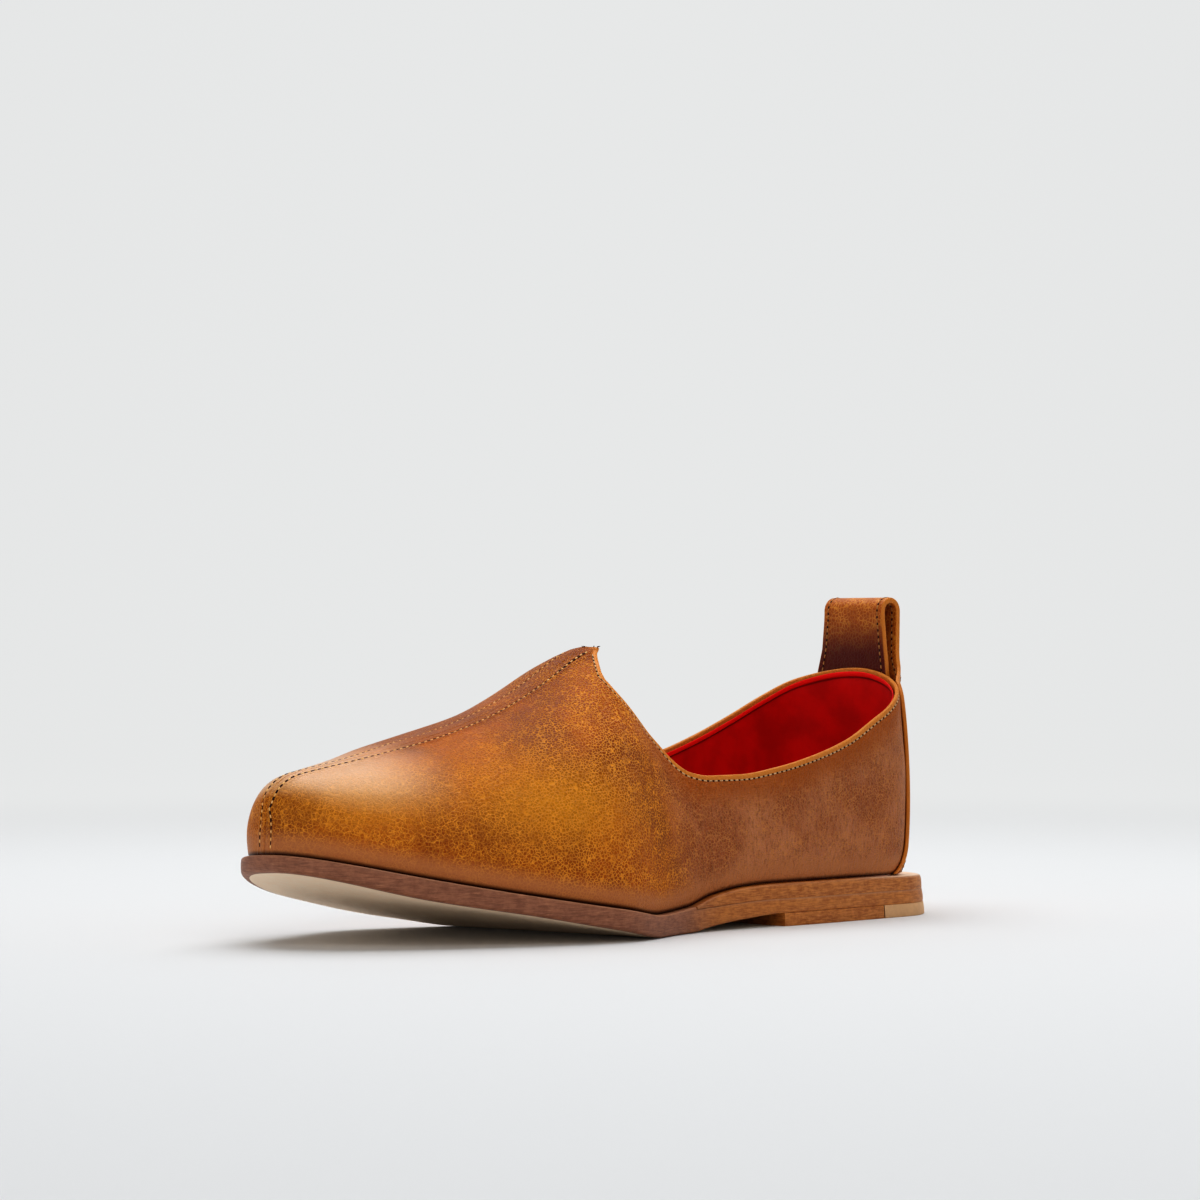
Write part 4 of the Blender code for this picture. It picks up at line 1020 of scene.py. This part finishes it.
def make_upper(look):
    """The outer leather.  Returns the rim's path and the way it stands up, the beak's tip, and the two
    kinds of stitch row with their normals."""
    points, normals, index, sides, throat = skin(1.0, RISE_COUNT, END_MARKS)
    rim_index = rim_path(index, throat)
    near = (points[:, 2] > 38.0) & (points[:, 0] < 185.0)
    rim, _ = nearest_on(points, finely(points[rim_index]), near)
    foot = points[:, 2] - seat_height(points[:, 0], points[:, 1])
    vamp = np.zeros(len(points))
    for side in (1, -1):
        vamp[index[side][throat:]] = 1.0
    lift, stitch = upper_lift(points, sides, vamp, rim, foot)
    outer = points + normals * lift[:, None]
    up = rim_upwards(points, normals, index, throat)
    solid, rim_mark, foot_mark, quads, outside = upper_wall(outer, points, normals, rim, foot, index,
                                                            throat, up)
    upright = np.zeros(len(solid))
    upright[:len(outer)] = normals[:, 2]
    marks = leather_marks(solid, upright, rim_mark, foot_mark)
    make_piece("upper_leather", solid, quads, look, "grained_leather", ("upper",), marks)

    tree = BVHTree.FromPolygons(outer.tolist(), outside.tolist())
    rim_up = np.concatenate([up[1][throat::-1], up[-1][1:]])
    rows = {"collar": [collar_row(tree, outer[rim_index], rim_up)],
            "seam": seam_rows(outer, quad_normals(outer, outside), index, throat, stitch, foot)}
    return points[rim_index], rim_up, outer[rim_index[0]], rows


def make_lining(look, rim_line, rim_up):
    """The red lining: the same skin inside the leather, its top edge folded into a round band with a
    furrow below it; ahead of a step on the inner side the band is wider."""
    points, normals, index, sides, _ = skin(0.6, 30, LINING_MARKS)
    near = (points[:, 2] > 42.0) & (points[:, 0] < 190.0)
    path = finely(rim_line)
    rim, best = nearest_on(points, path, near)
    place, up = path[best], finely(rim_up)[best]
    under = np.sum((place - points) * up, axis=1)
    short = np.where(near & (rim < 4.0), np.clip(LINING_TOP - under, 0.0, 3.0), 0.0)
    points = points - short[:, None] * up
    rim = np.maximum(rim, LINING_TOP)
    wide = 1.0 + 0.45 * smooth_step(points[:, 0], 103.0, 104.5) * (sides < 0.0)
    band = np.clip(1.0 - ((rim - 1.3) / (1.25 * wide)) ** 2, 0.0, 1.0)
    furrow = np.exp(-((rim - 1.3 - 1.55 * wide) / 0.32) ** 2)
    ripple = np.sin(points[:, 0] / 5.0) * np.sin(points[:, 2] / 6.0) * smooth_step(rim, 4.0, 12.0)
    inside = LEATHER + 0.25 + 0.75 * np.sqrt(band) - 0.12 * furrow + 0.3 * smooth_step(rim, 3.0, 6.0)
    sheet = points - normals * (inside + 0.08 * ripple)[:, None]
    quads = np.concatenate([grid_quads(index[1]), grid_quads(index[-1], True)])
    quads = turned_out(sheet, quads, normals)
    # band carries the painted highlight on the fold's top, line the painted shade in its furrow
    marks = {"band": np.clip(1.6 * band, 0.0, 1.0), "line": furrow}
    item = make_piece("red_lining", sheet, quads, look, marks=marks)
    wall = item.modifiers.new("thickness", "SOLIDIFY")
    wall.thickness = 0.0002
    wall.offset = 1.0


# ---- back strap -----------------------------------------------------------------------------------
def back_surface(x, z):
    """Stations of the upper's back at places across the heel, at one height."""
    stations = LEDGE + HEEL_ROUND * np.linspace(0.0, 1.0, 160) ** 2
    result = np.zeros(len(x))
    for side in (1, -1):
        rise = z - seat_height(stations, edge_x(stations, side))
        share = np.clip(rise / arch_height(stations, side), 0.0, 1.0)
        s, across, _ = section_point(stations, side, np.arcsin(share ** (last("wall", stations) / 2.0)))
        mine = (x >= last("centre", LEDGE)) == (side > 0)
        result[mine] = np.interp(side * x[mine], side * across, s)
    return result


def strap_path():
    """The strap from the side, from its foot up, over and down the inner leg: each row gives the
    distance behind the upper and the height of its outer and inner face, and how far it reaches to
    the inner and the outer side."""
    half_at_top, behind_out, leather = STRAP[-1][1:]
    behind_in = INNER[-1][2]
    radius = (behind_out - behind_in) / 2.0
    middle = (behind_out + behind_in) / 2.0
    shoulder = LOOP_TOP - radius
    up = np.linspace(STRAP_FOOT, shoulder, LEG_ROWS)
    angle = np.linspace(0.0, math.pi, BEND_ROWS)[1:-1]
    down = np.linspace(shoulder, LOOP_FOOT, LEG_ROWS // 2)

    def leg(table, z, inwards):
        """A leg's outer and inner face."""
        behind = level_column(table, STRAP_COLUMNS, "behind", z)
        thick = level_column(table, STRAP_COLUMNS, "leather", z)
        return np.stack([behind, z], axis=1), np.stack([behind + inwards * thick, z], axis=1)

    def bend(size):
        """Half a turn over the top."""
        return np.stack([middle + size * np.cos(angle), shoulder + size * np.sin(angle)], axis=1)

    faces = [leg(STRAP, up, -1.0), (bend(radius), bend(radius - leather)), leg(INNER, down, 1.0)]
    outer, inner = (np.concatenate(parts) for parts in zip(*faces))
    rest = [np.full(len(angle), half_at_top), level_column(INNER, STRAP_COLUMNS, "half", down)]
    half = [np.concatenate([level_column(table, names, "half", up)] + rest)
            for table, names in ((STRAP, STRAP_COLUMNS), (NEAR, NEAR_COLUMNS))]
    return outer, inner, np.stack(half, axis=1)


def strap_points(face, other, half, shares, depths, insets):
    """Points of the strap: at each row the section's places across, between its two faces; the rows
    follow the round of the heel low down and are straight at the loop's top; past the loop's own
    width the strap comes down onto the upper."""
    result = np.zeros((len(face), len(shares), 3))
    for k in range(len(face)):
        z_mid = (face[k, 1] + other[k, 1]) / 2.0
        x = STRAP_X + shares * (np.where(shares > 0.0, half[k, 1], half[k, 0]) + insets)
        past = smooth_step(x - STRAP_X, 17.6, 24.0)
        level = min(z_mid, BACK_PEAK - 1.0)
        base = back_surface(np.array([STRAP_X - 0.5, STRAP_X + 0.5]), level).mean()
        follow = np.maximum(np.clip((98.0 - z_mid) / 28.0, 0.0, 1.0), past)
        across = base + follow * (back_surface(x, level) - base)
        slope = back_surface(x + 0.5, level) - back_surface(x - 0.5, level)
        slope = slope * np.maximum(np.clip((90.0 - z_mid) / 30.0, 0.0, 1.0), past)
        close, far = (1.9, 0.3) if face[k, 0] > other[k, 0] else (0.3, 1.9)
        near = face[k, 0] + past * (close - face[k, 0])
        behind = near + depths * (other[k, 0] + past * (far - other[k, 0]) - near)
        z = face[k, 1] + depths * (other[k, 1] - face[k, 1])
        size = np.sqrt(1.0 + slope ** 2)
        result[k] = np.stack([across - behind / size, x + behind * slope / size, z], axis=1)
    return result


def make_strap(look):
    """The back strap and pull loop in one piece: a rounded-edged strip of leather.  Returns its two
    stitch rows on the outer face and on the face that the loop hides."""
    outer, inner, half = strap_path()
    bevel = 0.55
    flat = np.linspace(-1.0, 1.0, 25)
    arc = np.linspace(0.0, math.pi / 2.0, 5)[1:-1]
    corner_in, corner_deep = -bevel * (1.0 - np.sin(arc)), bevel / 1.9 * (1.0 - np.cos(arc))
    side_in = np.concatenate([np.full(len(flat), -bevel), corner_in, [0.0, 0.0], corner_in[::-1]])
    side_deep = np.concatenate([corner_deep, [0.32, 0.68], 1.0 - corner_deep[::-1]])
    side = np.ones(len(side_deep))
    shares = np.concatenate([flat, side, flat[::-1], -side])
    insets = np.concatenate([side_in, side_in])
    depths = np.concatenate([0.0 * flat, side_deep, 0.0 * flat + 1.0, side_deep[::-1]])
    rings = strap_points(outer, inner, half, shares, depths, insets)
    hidden = np.arange(len(rings))[:, None] > LEG_ROWS + 0.7 * BEND_ROWS
    # painted shade: the face that the loop hides darkens towards its foot
    shade = np.where(hidden, smooth_step(-rings[..., 2], -114.0, -95.0) * 0.97, 0.0) * (depths < 0.5)
    cut = np.clip(1.0 + insets / bevel, 0.0, 1.0) ** 0.5
    marks = {"cut": np.broadcast_to(cut, shade.shape), "shade": shade}
    make_tube("back_strap", rings, look, "grained_leather", ("back_strip", "pull_loop"), marks,
              caps=("first", "last"), flip=True)
    stitches = []
    for share in (1.0, -1.0):
        for a, b in ((outer, inner), (inner, outer)):
            path, under = (strap_points(a, b, half, np.array([share]), np.array([depth]),
                                        np.array([-STRAP_STITCH]))[:, 0] for depth in (0.0, 1.0))
            stitches.append((path, (path - under) / np.linalg.norm(path - under, axis=1)[:, None]))
    return stitches


# ---- sole pieces ----------------------------------------------------------------------------------
def sole_flare(station, z):
    """How far the heel has spread at a height: nothing at its top, all of it at the floor."""
    return np.clip((125.0 - station) / 35.0, 0.0, 1.0) * HEEL_FLARE * (1.0 - z / 15.0)


def sole_plan(stations, side, inset, flare_at):
    """The sole's edge at a height, drawn in by an inset."""
    return outline(stations, side, inset, sole_flare(stations, flare_at))


def slab(stations, levels, across, plan=sole_plan, crisp=1.0):
    """Rings of a flat leather piece, one at each station; each place is (station, x, z, pale, bead).

    A level is (inset, height function, flare height, pale, bead): the first is the top face's edge,
    the last the bottom face's, and between are the steps of the side.  The faces run across between
    the two sides; crisp is the share of the insets kept at each station.
    """
    def strip(level, side, shares):
        """Places at shares of the way from one side's edge to the other's."""
        inset, height, flare_at, *worn = levels[level]
        a, b = (np.stack(plan(stations, way, inset * crisp, flare_at), axis=-1)[:, None, :]
                for way in (side, -side))
        places = a + (b - a) * shares[None, :, None]
        z = height(places[..., 0], places[..., 1])[..., None]
        return np.concatenate([places, z, np.broadcast_to(worn, z.shape[:2] + (2,))], axis=-1)

    face = (1.0 - np.cos(np.linspace(0.0, math.pi, across))) / 2.0
    edge = np.zeros(1)
    under = len(levels) - 1
    parts = [strip(0, 1, face)] + [strip(k, -1, edge) for k in range(1, under)]
    parts += [strip(under, -1, face)] + [strip(k, 1, edge) for k in range(under - 1, 0, -1)]
    return np.concatenate(parts, axis=1)


def slab_piece(name, rings, look, slot, node_name, caps=()):
    """A flat leather piece from its rings, with how far behind the waist each place is."""
    marks = {"heel": smooth_step(-rings[..., 0], -150.0, -122.0), "pale": rings[..., 3],
             "bead": rings[..., 4]}
    make_tube(name, rings[..., :3], look, slot, (node_name,), marks, 40.0, caps)


def outsole_top(station, x):
    """Top of the outsole under the wedge."""
    wedge = level_column(SOLE, SOLE_COLUMNS, "wedge", flexed(station, x))
    return seat_height(station, x) - wedge - 2.0 * GAP


def seat_top(station, x):
    """Top of the sole under the upper."""
    return seat_height(station, x) - GAP


def make_outsole(look):
    """The outsole: a leather slab whose top edge is rounded, whose side is a little full and whose
    tread edge is turned under."""
    rear = np.concatenate([swing_stations(60, 0.0, SEAT_ROUND, SEAT_POWER)[:-1],
                           np.linspace(SEAT_ROUND, WEDGE_FRONT, 70)])
    ahead = np.concatenate([np.linspace(WEDGE_FRONT, LENGTH - TOE_ROUND, 80)[:-1],
                            LENGTH - swing_stations(80, 0.0, TOE_ROUND, TOE_POWER)[::-1]])

    def levels(top):
        def between(share):
            return lambda s, x: (tread_height(s, x) + 1.3) * (1.0 - share) + share * (top(s, x) - 0.6)

        return (
            (0.70, top, 10.0, 0.0, 0.6),
            (0.35, lambda s, x: top(s, x) - 0.08, 9.9, 0.0, 1.0),
            (0.10, lambda s, x: top(s, x) - 0.30, 9.8, 0.0, 0.8),
            (0.0, lambda s, x: top(s, x) - 0.65, 9.6, 0.0, 0.1),
            (-0.12, between(0.7), 8.5, 0.0, 0.0),
            (-0.12, between(0.35), 6.5, 0.0, 0.0),
            (0.0, between(0.0), 5.5, 0.0, 0.0),
            (0.30, lambda s, x: tread_height(s, x) + 0.75, 5.2, 0.0, 0.0),
            (0.8, lambda s, x: tread_height(s, x) + 0.30, 5.0, 0.0, 0.0),
            (1.5, lambda s, x: tread_height(s, x) + 0.08, 4.8, 0.0, 0.0),
            (2.3, lambda s, x: tread_height(s, x) + 0.01, 4.7, 0.0, 0.0),
            (2.45, tread_height, 4.7, 1.0, 0.0),
        )

    crisp = 0.12 + 0.88 * smooth_step(rear, 96.0, WEDGE_FRONT)
    rings = np.concatenate([slab(rear, levels(outsole_top), 31, crisp=crisp),
                            slab(ahead, levels(seat_top), 31)])
    slab_piece("sole_leather", rings, look, "sole_leather", "outsole")


def make_wedge(look):
    """The heel seat: a wedge between outsole and upper, skived to an edge at the waist, its top face
    left pale where it stands out behind the upper."""
    rear = np.concatenate([swing_stations(60, 0.0, SEAT_ROUND, SEAT_POWER)[:-1],
                           np.linspace(SEAT_ROUND, WEDGE_FRONT - 0.4, 70)])

    def foot(station, x):
        return outsole_top(station, x) + JOINT

    def between(share):
        return lambda s, x: foot(s, x) + share * (seat_top(s, x) - foot(s, x))

    levels = (
        (1.0, seat_top, 14.8, 0.85, 0.0),
        (0.55, between(0.985), 14.8, 0.6, 0.4),
        (0.2, between(0.93), 14.5, 0.1, 0.5),
        (0.0, between(0.82), 14.0, 0.0, 0.1),
        (-0.1, between(0.6), 13.0, 0.0, 0.0),
        (-0.1, between(0.36), 12.0, 0.0, 0.0),
        (0.0, between(0.12), 10.4, 0.0, 0.0),
        (0.06, foot, 10.0, 0.0, 0.0),
    )
    rings = slab(rear, levels, 25)
    rings[..., 3] *= smooth_step(-rear, -62.0, -24.0)[:, None]
    slab_piece("heel_seat", rings, look, "stacked_leather", "heel_wedge", ("last",))


def heel_block(name, lateral, medial, look, slot, node_name):
    """A heel piece from the floor up: the same plan at each level, its edges eased."""
    levels = ((0.0, 0.35), (0.12, 0.12), (0.4, 0.0), (LIFT_TOP / 2.0, -0.05), (LIFT_TOP - 0.15, 0.0),
              (LIFT_TOP - 0.04, 0.03), (LIFT_TOP, 0.08))
    rings = []
    for z, inset in levels:
        ends = [np.stack(sole_plan(stations, side, inset, z), axis=1)
                for side, stations in ((1, lateral), (-1, medial))]
        rings.append(np.pad(np.concatenate(ends), ((0, 0), (0, 1)), constant_values=z))
    rings = np.stack(rings)
    none = np.zeros(rings.shape[:2])
    marks = {"heel": none + 1.0, "pale": none, "bead": none}
    make_tube(name, rings, look, slot, (node_name,), marks, 35.0, ("first", "last"))


def make_heel(stack_look, rubber_look):
    """The heel lift, and the rubber tip let into its outer rear corner along a slanting cut."""
    half_cut = 0.22
    back = swing_stations(60, 0.0, SEAT_ROUND, SEAT_POWER)
    medial_half = float(last("medial", 5.0)) + RAND
    centre = float(last("centre", 5.0))

    def at_x(x):
        return float(distance_at((centre - x) / medial_half, SEAT_ROUND, SEAT_POWER))

    lift_back, tip_back = at_x(TIP_X - half_cut), at_x(TIP_X + half_cut)
    straight = np.linspace(BREAST, TIP_STATION + half_cut, 30)
    medial = np.concatenate([[lift_back], back[back > lift_back + 0.05],
                             np.linspace(SEAT_ROUND, BREAST, 40)[1:]])
    heel_block("heel_lift_leather", straight, medial, stack_look, "stacked_leather", "heel_lift")
    corner = np.concatenate([[TIP_STATION - half_cut, 32.0], back[::-1]])
    behind = np.concatenate([back[1:][back[1:] < tip_back - 0.02], [tip_back]])
    heel_block("heel_tip_rubber", corner, behind, rubber_look, "heel_rubber", "heel_tip")


def make_insole(look):
    """The insole: a thin leather board with eased edges, lying on the sole inside the upper's foot."""
    back = LEDGE + INSOLE_INSET
    front = LENGTH - TOE_GAP - INSOLE_INSET
    stations = np.concatenate([swing_stations(40, back, HEEL_ROUND, HEEL_POWER)[:-1],
                               np.linspace(back + HEEL_ROUND, front - TOE_ROUND, 70)[:-1],
                               front - swing_stations(50, 0.0, TOE_ROUND, TOE_POWER)[::-1]])

    def plan(at, side, inset, _):
        x = last("centre", at) + side * half_width(at, side, -INSOLE_INSET - inset, back, front)
        return at + heel_turn(at, x), x

    def above(thick):
        return lambda s, x: seat_height(s, x) + thick

    steps = ((0.5, INSOLE_THICK), (0.15, INSOLE_THICK - 0.1), (0.0, INSOLE_THICK - 0.45), (0.0, 0.5),
             (0.3, 0.0))
    levels = [(inset, above(thick), 0.0, 0.0, 0.0) for inset, thick in steps]
    slab_piece("insole_board", slab(stations, levels, 31, plan), look, "insole_leather", "insole")


# ---- loose ends -----------------------------------------------------------------------------------
def make_ends(tip, look):
    """Ragged thread ends at the beak: short tapering hairs, each bent by a square law.  A hair is its
    place from the beak's tip and how far it then runs along, across and up."""
    hairs = (
        (0.6, 0.5, 1.0, -0.9, 0.3, 0.5),
        (1.4, -0.6, 0.9, -0.6, -0.5, 0.6),
        (3.0, 0.9, 0.8, 0.4, 0.5, 0.8),
        (5.5, -0.7, 0.6, 0.7, -0.5, 0.7),
        (2.0, 1.6, 0.5, -0.4, 0.8, 0.7),
        (8.0, 0.6, 0.4, 0.6, 0.3, 0.8),
    )
    steps, sides = 7, 6
    t = np.linspace(0.0, 1.0, steps)[:, None]
    a = np.linspace(0.0, 2.0 * math.pi, sides, endpoint=False)
    hoop = np.stack([0.0 * a, np.cos(a), np.sin(a)], axis=1)[None]
    size = 0.26 * ((1.0 - 0.6 * t) * (t > 0.0) * (t < 1.0))[:, :, None]
    made = []
    for ds, dx, dz, along, across, up in hairs:
        line = np.concatenate([ds + along * t ** 2, dx + across * t, dz * 0.2 + up * (t - 0.4 * t * t)],
                              axis=1)
        points = (tip + line)[:, None, :] + hoop * size
        made.append((points.reshape(-1, 3), grid_quads(ring_grid(steps, sides), along < 0.0)))
    make_piece("beak_thread_ends", *joined(made), look, "grained_leather")


# ---- studio ---------------------------------------------------------------------------------------
BACKDROP_TURN = 138.1     # the wall behind the shoe, in degrees from the X axis
FLOOR_END, WALL_ROUND = 3.0, 1.5          # metres of level floor, and the radius of its turn


def make_studio():
    """A pale floor that turns up into a wall all round, lit from within where it rises and brightest
    behind the shoe: a profile of run and rise turned about the upright through the shoe."""
    bend = np.linspace(0.0, math.pi / 2.0, 20)[1:]
    run = np.concatenate([[0.0, 0.15, 0.3], np.linspace(0.45, FLOOR_END, 24),
                          FLOOR_END + WALL_ROUND * np.sin(bend), np.full(4, FLOOR_END + WALL_ROUND)])
    rise = np.concatenate([np.zeros(27), WALL_ROUND - WALL_ROUND * np.cos(bend), np.linspace(2.0, 4.0, 4)])
    turn = np.linspace(0.0, 2.0 * math.pi, 97)
    points = np.stack([run[:, None] * np.cos(turn), run[:, None] * np.sin(turn),
                       rise[:, None] + 0.0 * turn], axis=-1)
    mesh = bpy.data.meshes.new("studio_floor")
    grid = np.arange(points[..., 0].size).reshape(points.shape[:2])
    mesh.from_pydata(points.reshape(-1, 3).tolist(), [], grid_quads(grid).tolist())
    behind = 0.5 - 0.5 * np.cos(turn - math.radians(BACKDROP_TURN + 180.0))
    glow = smooth_step(run, 0.4, 1.2)[:, None] * (0.24 + 0.76 * behind ** 2)
    layer = mesh.attributes.new("glow", "FLOAT", "POINT")
    layer.data.foreach_set("value", glow.reshape(-1).astype(np.float32))
    mesh.shade_smooth()

    paper, tree, shader = new_look("studio_paper", Roughness=0.9, Specular_IOR_Level=0.0,
                                   Emission_Color=linear("#F9FAFA"))
    lit = node(tree, "Attribute", out="Fac", attribute_name="glow")
    colour = node(tree, "Mix", {0: lit, 6: "#DADBDC", 7: "#202020"}, **COLOURS)
    tree.links.new(colour, shader.inputs["Base Color"])
    strength = node(tree, "Math", {0: lit, 1: 0.605}, operation="MULTIPLY")
    tree.links.new(strength, shader.inputs["Emission Strength"])
    mesh.materials.append(paper)
    shown("studio_floor", mesh)

    world = bpy.data.worlds.new("studio_air")
    bpy.context.scene.world = world
    world.use_nodes = True
    air = world.node_tree.nodes["Background"].inputs
    air["Color"].default_value = linear("#F4F6F8")
    air["Strength"].default_value = 0.05


def soft_light(name, place, target, size, power):
    """A white rectangular light at a place, in metres, turned to its target."""
    data = bpy.data.lights.new(name, "AREA")
    data.shape = "RECTANGLE"
    data.size, data.size_y = size
    data.energy = power
    item = shown(name, data)
    back = np.array(place) - np.array(target)
    item.location = place
    item.rotation_euler = (math.atan2(math.hypot(back[0], back[1]), back[2]), 0.0,
                           math.atan2(back[0], -back[1]))


def make_camera():
    """A long lens just above the toe's height, a little more than a metre away."""
    data = bpy.data.cameras.new("camera")
    data.lens, data.sensor_width = 114.672, 36.0
    data.clip_start, data.clip_end = 0.05, 60.0
    camera = shown("camera", data)
    camera.location = (1.00240, -0.90266, 0.10182)
    camera.rotation_euler = (math.radians(90.0 + 0.58868), 0.0, math.radians(48.0998))
    scene = bpy.context.scene
    scene.camera = camera
    scene.view_settings.view_transform = "Standard"
    scene.view_settings.look = "High Contrast"


def main():
    """Makes the finishes, then each piece of the shoe, then the studio."""
    leather = waxed_leather()
    strap_look = strap_leather()
    red = lining_leather()
    # sole leather, inked dark ahead of the waist and waxed honey brown behind it; the stack is redder
    edge = edge_leather("burnished_sole_edge", ("#845640", "#A87256"), ("#A86430", "#CE8A46"))
    stack = edge_leather("sanded_heel_stack", ("#7C5038", "#A06C4C"), ("#A05C28", "#CE8A48"))
    # moulded matt rubber, and undyed leather that is close and dry
    rubber = plain_look("tan_heel_rubber", "#D2A77C", "#DCB183", 3.0, 0.6, 0.15)
    board = plain_look("natural_insole_leather", "#B98A5E", "#C99C70", 6.0, 0.55, 0.2)
    # twisted linen, waxed: natural on the collar, golden on the seam, brown on the strap; its loose ends
    # are dark with wax, and a needle hole is only shadow
    pale_thread = plain_look("waxed_linen_thread", "#C0A076", "#DEC298", 0.9, 0.6, 0.4)
    tan_thread = plain_look("tan_linen_thread", "#E0B068", "#FAD494", 0.9, 0.6, 0.4)
    brown_thread = plain_look("brown_linen_thread", "#A06A34", "#C89458", 0.9, 0.6, 0.4)
    hole_shadow_look = plain_look("needle_hole_shadow", "#2C1206", "#42200E", 0.8, 0.9, 0.0)
    frayed = plain_look("frayed_thread", "#3A1A12", "#5E3020", 0.8, 0.8, 0.2)

    rim_line, rim_up, tip, rows = make_upper(leather)
    make_lining(red, rim_line, rim_up)
    thread_rows("collar", rows["collar"], STITCH_PITCH, 0.9, pale_thread, hole_shadow_look)
    thread_rows("seam", rows["seam"], SEAM_PITCH, 1.45, tan_thread, hole_shadow_look)
    thread_rows("strap", make_strap(strap_look), STRAP_PITCH, 1.0, brown_thread, hole_shadow_look)
    make_outsole(edge)
    make_wedge(stack)
    make_heel(stack, rubber)
    make_insole(board)
    make_ends(tip, frayed)

    make_studio()
    soft_light("overhead", (-0.2, 0.2, 1.4), (0.0, 0.0, 0.0), (1.6, 1.6), 18.0)
    soft_light("side_fill", (0.95, -0.52, 0.9), (0.0, -0.05, 0.02), (0.7, 0.4), 2.2)
    soft_light("low_fill", (0.3, -1.4, 0.12), (0.0, -0.1, 0.02), (1.0, 0.2), 1.0)
    make_camera()


main()
